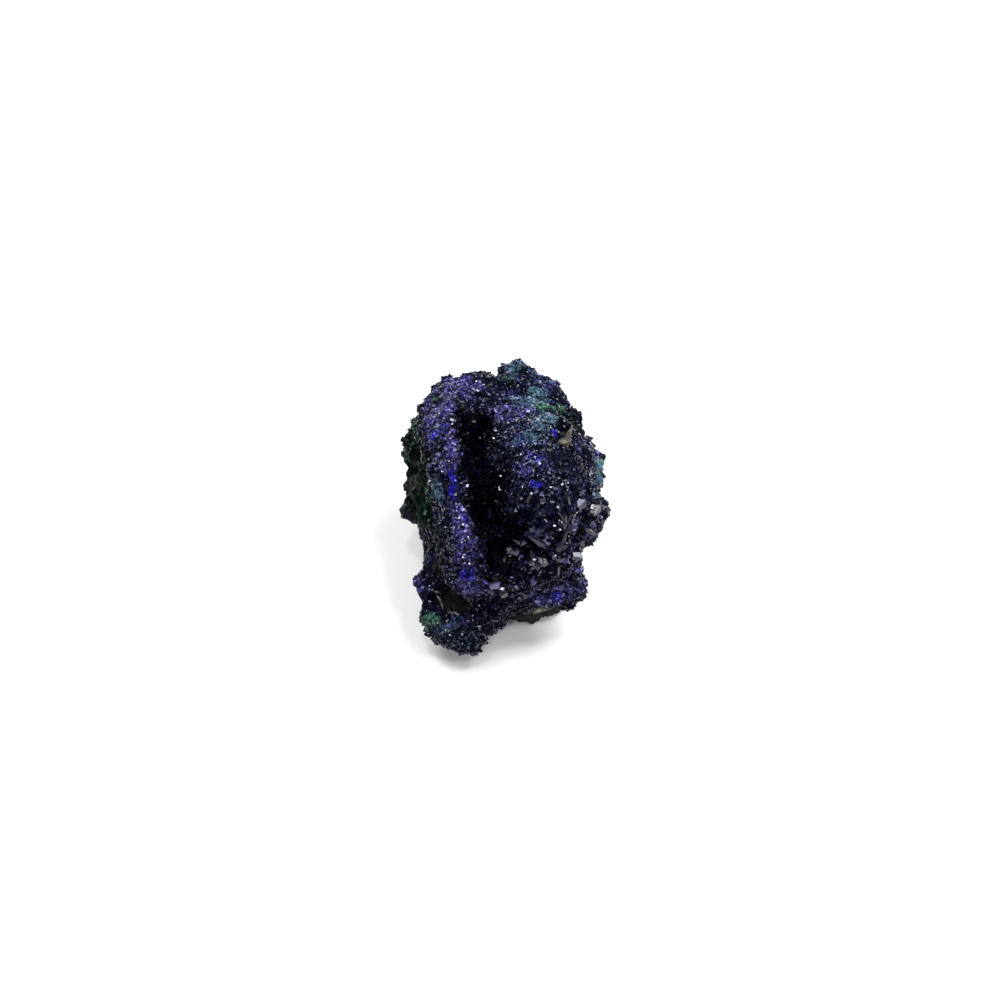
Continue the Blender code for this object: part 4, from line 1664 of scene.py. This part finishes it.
@dataclass(frozen=True)
class AzuriteFinish:
    """Glassy blue-black azurite with its violet, teal and green zones.

    Args:
        name: The material's name.
        polish: Roughness of the glossiest crystal.
        matt: Roughness of the dullest crystal.
        cell: Size of the grains in its bump, in millimetres.
        depth: Depth of the bump, in millimetres.
        strength: Strength of the bump.
        ior: How strongly it mirrors the light.
        in_crystals: Whether the mesh stores each crystal's own tint. If not, each grain has its own.
        gleam: The colour of what it mirrors face on.
        shade: What its colours are multiplied by; in the cleft it darkens them as painted shade.
        dulling: How much rougher it is where it is stained.
        own: Colours that differ from the common ones.
    """

    name: str
    polish: float
    matt: float
    cell: float
    depth: float
    strength: float
    ior: float
    in_crystals: bool = True
    gleam: Triple = (0.76, 0.82, 1.0)
    shade: float = 1.0
    dulling: float = 0.4
    own: dict[str, Triple] = field(default_factory=dict)

    def material(self, tones: MineralTones) -> bpy.types.Material:
        """Build the material.

        Args:
            tones: The shared node group.

        Returns:
            The material.
        """
        made, make = new_material(self.name)
        cells = make.add("ShaderNodeTexVoronoi", {"Vector": make.place(), "Scale": 1.0 / (self.cell * MM)})
        if self.in_crystals:
            tint = make.stored("tint", "Fac")
        else:
            tint = make.channels(cells.outputs["Color"])[0]
        mixed = make.add("ShaderNodeGroup", node_tree=tones.group)
        made.node_tree.links.new(tint, mixed.inputs["Tint"])
        for name, colour in (AZURITE_COLOURS | self.own).items():
            mixed.inputs[name].default_value = (*(self.shade * part for part in colour), 1.0)
        gloss = make.math("ADD", make.math("MULTIPLY", tint, self.matt - self.polish), self.polish)
        dull = make.math("MULTIPLY", mixed.outputs["Earth"], self.dulling)
        bump = make.add(
            "ShaderNodeBump",
            {"Height": cells.outputs["Distance"], "Distance": self.depth * MM, "Strength": self.strength},
            invert=True,
        )
        make.surface(
            {
                "Base Color": mixed.outputs["Colour"],
                "Roughness": make.clamp01(make.math("ADD", gloss, dull)),
                "IOR": self.ior,
                "Specular Tint": (*self.gleam, 1.0),
                "Normal": bump.outputs[0],
            }
        )
        return made


@dataclass(frozen=True)
class LimoniteFinish:
    """Earthy limonite, tan where it is worn and near-black brown in its pores, that darkness partly painted
    shade.

    Args:
        name: The material's name.
        brown: Colour of its pores, near black: partly the rock's own brown, partly painted shade from under
            the lip.
        tan: Colour of its grains.
        pale: Colour of its worn spots.
        grain: Size of its grains, in millimetres.
        broad: Scale of its patches beside its grains.
        details: Detail of the patches' noise and of the grains'.
        ochre: How much a stored tan widens the tan patches.
        patches: Limit and steepness of the tan patches.
        rubbed: How much a stored tan widens the worn spots, and the tan from which it does.
        spots: Limit and steepness of the worn spots.
        depth: Depth of the bump, in millimetres.
        strength: Strength of the bump.
        matt: Its roughness.
        polish: How much less rough the worn spots are.
    """

    name: str
    brown: Triple = (0.006, 0.0048, 0.0036)
    tan: Triple = (0.080, 0.071, 0.053)
    pale: Triple = (0.33, 0.315, 0.27)
    grain: float = 0.25
    broad: float = 0.25
    details: tuple[float, float] = (5.0, 6.0)
    ochre: float = 0.35
    patches: tuple[float, float] = (0.66, 5.0)
    rubbed: tuple[float, float] = (0.5, 0.84)
    spots: tuple[float, float] = (0.55, 5.0)
    depth: float = 0.08
    strength: float = 0.7
    matt: float = 0.95
    polish: float = 0.15

    def material(self) -> bpy.types.Material:
        """Build the material.

        Returns:
            The material.
        """
        made, make = new_material(self.name)
        place, scale = make.place(), 1.0 / (self.grain * MM)
        broad = make.cloud(place, scale * self.broad, self.details[0])
        fine = make.cloud(place, scale, self.details[1])
        ochre = make.channels(make.stored("stain_tones"))[2]
        cover = make.above(make.math("ADD", broad, make.math("MULTIPLY", ochre, self.ochre)), *self.patches)
        share, least = self.rubbed
        rubbed = make.math("ADD", fine, make.math("MULTIPLY", make.math("SUBTRACT", ochre, least), share))
        worn = make.math("MULTIPLY", make.above(rubbed, *self.spots), cover)
        # pores take a near-black brown that is partly painted shade
        colour = make.mix(cover, (*self.brown, 1.0), (*self.tan, 1.0))
        colour = make.mix(worn, colour, (*self.pale, 1.0))
        relief = {"Height": fine, "Distance": self.depth * MM, "Strength": self.strength}
        make.surface(
            {
                "Base Color": colour,
                "Roughness": make.math("SUBTRACT", self.matt, make.math("MULTIPLY", worn, self.polish)),
                "Normal": make.add("ShaderNodeBump", relief).outputs[0],
            }
        )
        return made


@dataclass(frozen=True)
class Lamp:
    """One soft rectangular light that looks at the specimen.

    Args:
        name: The light's name.
        place: Where it hangs, in metres.
        size: Its width and height, in metres.
        glow: Its radiance.
    """

    name: str
    place: Triple
    size: tuple[float, float]
    glow: float

    def hang(self) -> None:
        """Hang the light."""
        light = bpy.data.lights.new(self.name, "AREA")
        light.shape = "RECTANGLE"
        light.size, light.size_y = self.size
        light.energy = self.glow * math.pi * self.size[0] * self.size[1]
        item = bpy.data.objects.new(self.name, light)
        item.location = self.place
        item.rotation_euler = Vector(self.place).to_track_quat("Z", "Y").to_euler()
        item.visible_camera = False
        bpy.context.scene.collection.objects.link(item)


@dataclass
class Studio:
    """A pale floor, soft light and the camera.

    Args:
        middle: The specimen's middle, in metres.
        elevation: Degrees that the camera looks down from level.
        distance: How far away it is, in metres.
        lens: Its focal length, in millimetres.
        sensor: Its sensor's width, in millimetres.
        near: How near it still sees, in metres.
        aside: How far right of the middle it aims, in metres.
        above: How far above the middle it aims, in metres, square to its view.
        floor_half: Half the floor's width, in metres.
        floor_colour: The floor's colour.
        floor_roughness: The floor's roughness.
        sky: The sky's radiance.
        lamps: The lights.
    """

    middle: Triple = (0.00008, -0.00131, 0.0058)
    elevation: float = 55.0
    distance: float = 0.1667
    lens: float = 100.0
    sensor: float = 36.0
    near: float = 0.01
    aside: float = -0.0003
    above: float = 0.00048
    floor_half: float = 1.5
    floor_colour: Triple = (0.86, 0.86, 0.86)
    floor_roughness: float = 0.9
    sky: Triple = (0.228, 0.232, 0.240)
    lamps: tuple[Lamp, ...] = (
        Lamp("box_left", (-0.15, 0.12, 0.28), (0.16, 0.16), 9.0),
        Lamp("box_right", (0.16, 0.12, 0.28), (0.18, 0.18), 12.5),
        Lamp("back_card", (0.0, 0.28, 0.12), (0.24, 0.08), 3.0),
        Lamp("strip_left", (-0.26, -0.04, 0.18), (0.04, 0.20), 2.5),
        Lamp("strip_right", (0.26, -0.06, 0.18), (0.04, 0.20), 8.0),
        Lamp("spark_front", (-0.05, -0.22, 0.34), (0.04, 0.04), 44.0),
        Lamp("spark_side", (0.16, -0.10, 0.34), (0.04, 0.04), 44.0),
        Lamp("spark_top", (-0.04, 0.02, 0.38), (0.04, 0.04), 44.0),
    )

    def floor(self) -> None:
        """Lay the floor."""
        shape = bmesh.new()
        bmesh.ops.create_grid(shape, x_segments=1, y_segments=1, size=self.floor_half)
        mesh = as_mesh(shape, "floor")
        made = bpy.data.materials.new("pale_floor")
        made.use_nodes = True
        shader = made.node_tree.nodes["Principled BSDF"]
        shader.inputs["Base Color"].default_value = (*self.floor_colour, 1.0)
        shader.inputs["Roughness"].default_value = self.floor_roughness
        shader.inputs["Specular IOR Level"].default_value = 0.0
        mesh.materials.append(made)
        link("floor", mesh)

    def light(self) -> None:
        """Hang the lights and light the sky."""
        for lamp in self.lamps:
            lamp.hang()
        world = bpy.data.worlds.new("studio")
        world.use_nodes = True
        world.node_tree.nodes["Background"].inputs["Color"].default_value = (*self.sky, 1.0)
        world.node_tree.nodes["Background"].inputs["Strength"].default_value = 1.0
        bpy.context.scene.world = world
        bpy.context.scene.view_settings.view_transform = "Standard"

    def camera(self) -> None:
        """Set up the camera."""
        tilt = math.radians(self.elevation)
        forward = Vector((0.0, math.cos(tilt), -math.sin(tilt)))
        up = Vector((0.0, math.sin(tilt), math.cos(tilt)))
        aim = Vector(self.middle) + Vector((self.aside, 0.0, 0.0)) + up * self.above
        data = bpy.data.cameras.new("camera")
        data.lens = self.lens
        data.sensor_width = self.sensor
        data.clip_start = self.near
        item = bpy.data.objects.new("camera", data)
        item.location = aim - forward * self.distance
        item.rotation_euler = (math.pi / 2.0 - tilt, 0.0, 0.0)
        bpy.context.scene.collection.objects.link(item)
        bpy.context.scene.camera = item


def azurite_finishes(tones: MineralTones) -> dict[str, bpy.types.Material]:
    """Build the azurite's materials.

    Args:
        tones: The shared node group.

    Returns:
        The materials by their names.
    """
    crystal = AzuriteFinish(
        "azurite_crystal", polish=0.05, matt=0.26, cell=0.12, depth=0.012, strength=0.25, ior=1.48
    )
    # the cleft's crystals keep 0.14 of their colours: painted shade for the deep cleft
    cleft = replace(crystal, name="azurite_cleft", matt=0.2, ior=1.2, gleam=(1.0, 1.0, 1.0), shade=0.14)
    ground = AzuriteFinish(
        "azurite_ground", polish=0.12, matt=0.3, cell=0.16, depth=0.05, strength=0.8, ior=1.09,
        in_crystals=False, gleam=(0.75, 1.0, 0.85), shade=0.8,
    )
    blades = AzuriteFinish(
        "azurite_blades", polish=0.08, matt=0.22, cell=0.16, depth=0.012, strength=0.3, ior=1.5,
        gleam=(0.9, 0.92, 1.0), dulling=0.12, own=BLADE_COLOURS,
    )
    return {finish.name: finish.material(tones) for finish in (crystal, cleft, ground, blades)}


def main() -> None:
    """Build the specimen's look, piece by piece."""
    logging.basicConfig(level=logging.INFO, format="%(name)s: %(message)s")
    noise.seed_set(NOISE_SEED)
    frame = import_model()
    finishes = azurite_finishes(MineralTones())
    earthy = LimoniteFinish("limonite").material()
    under = AzuriteSkin()
    skin = under.shape(frame)
    under.describe(skin, frame)
    LOG.info("skin: %d triangles", triangles(skin.data))
    shapes = {layer.name: CrystalShapes(layer.name, layer.habits) for layer in LAYERS}
    scatter = DruseTree()
    for region in Region:
        lining = region is Region.CLEFT
        # crystals in the cleft take the finish darkened as painted shade
        finish = finishes["azurite_cleft" if lining else "azurite_crystal"]
        ride(scatter.scatter(skin, region, shapes, finish), region.piece, finish)
    for kept in shapes.values():
        kept.discard()
    Blades().build(skin, finishes["azurite_blades"])
    Flakes().build(skin, earthy)
    LimoniteRock().build(frame, under.colours, earthy)
    under.dress(skin, finishes["azurite_ground"])
    studio = Studio()
    studio.floor()
    studio.light()
    studio.camera()


if __name__ == "__main__":
    main()
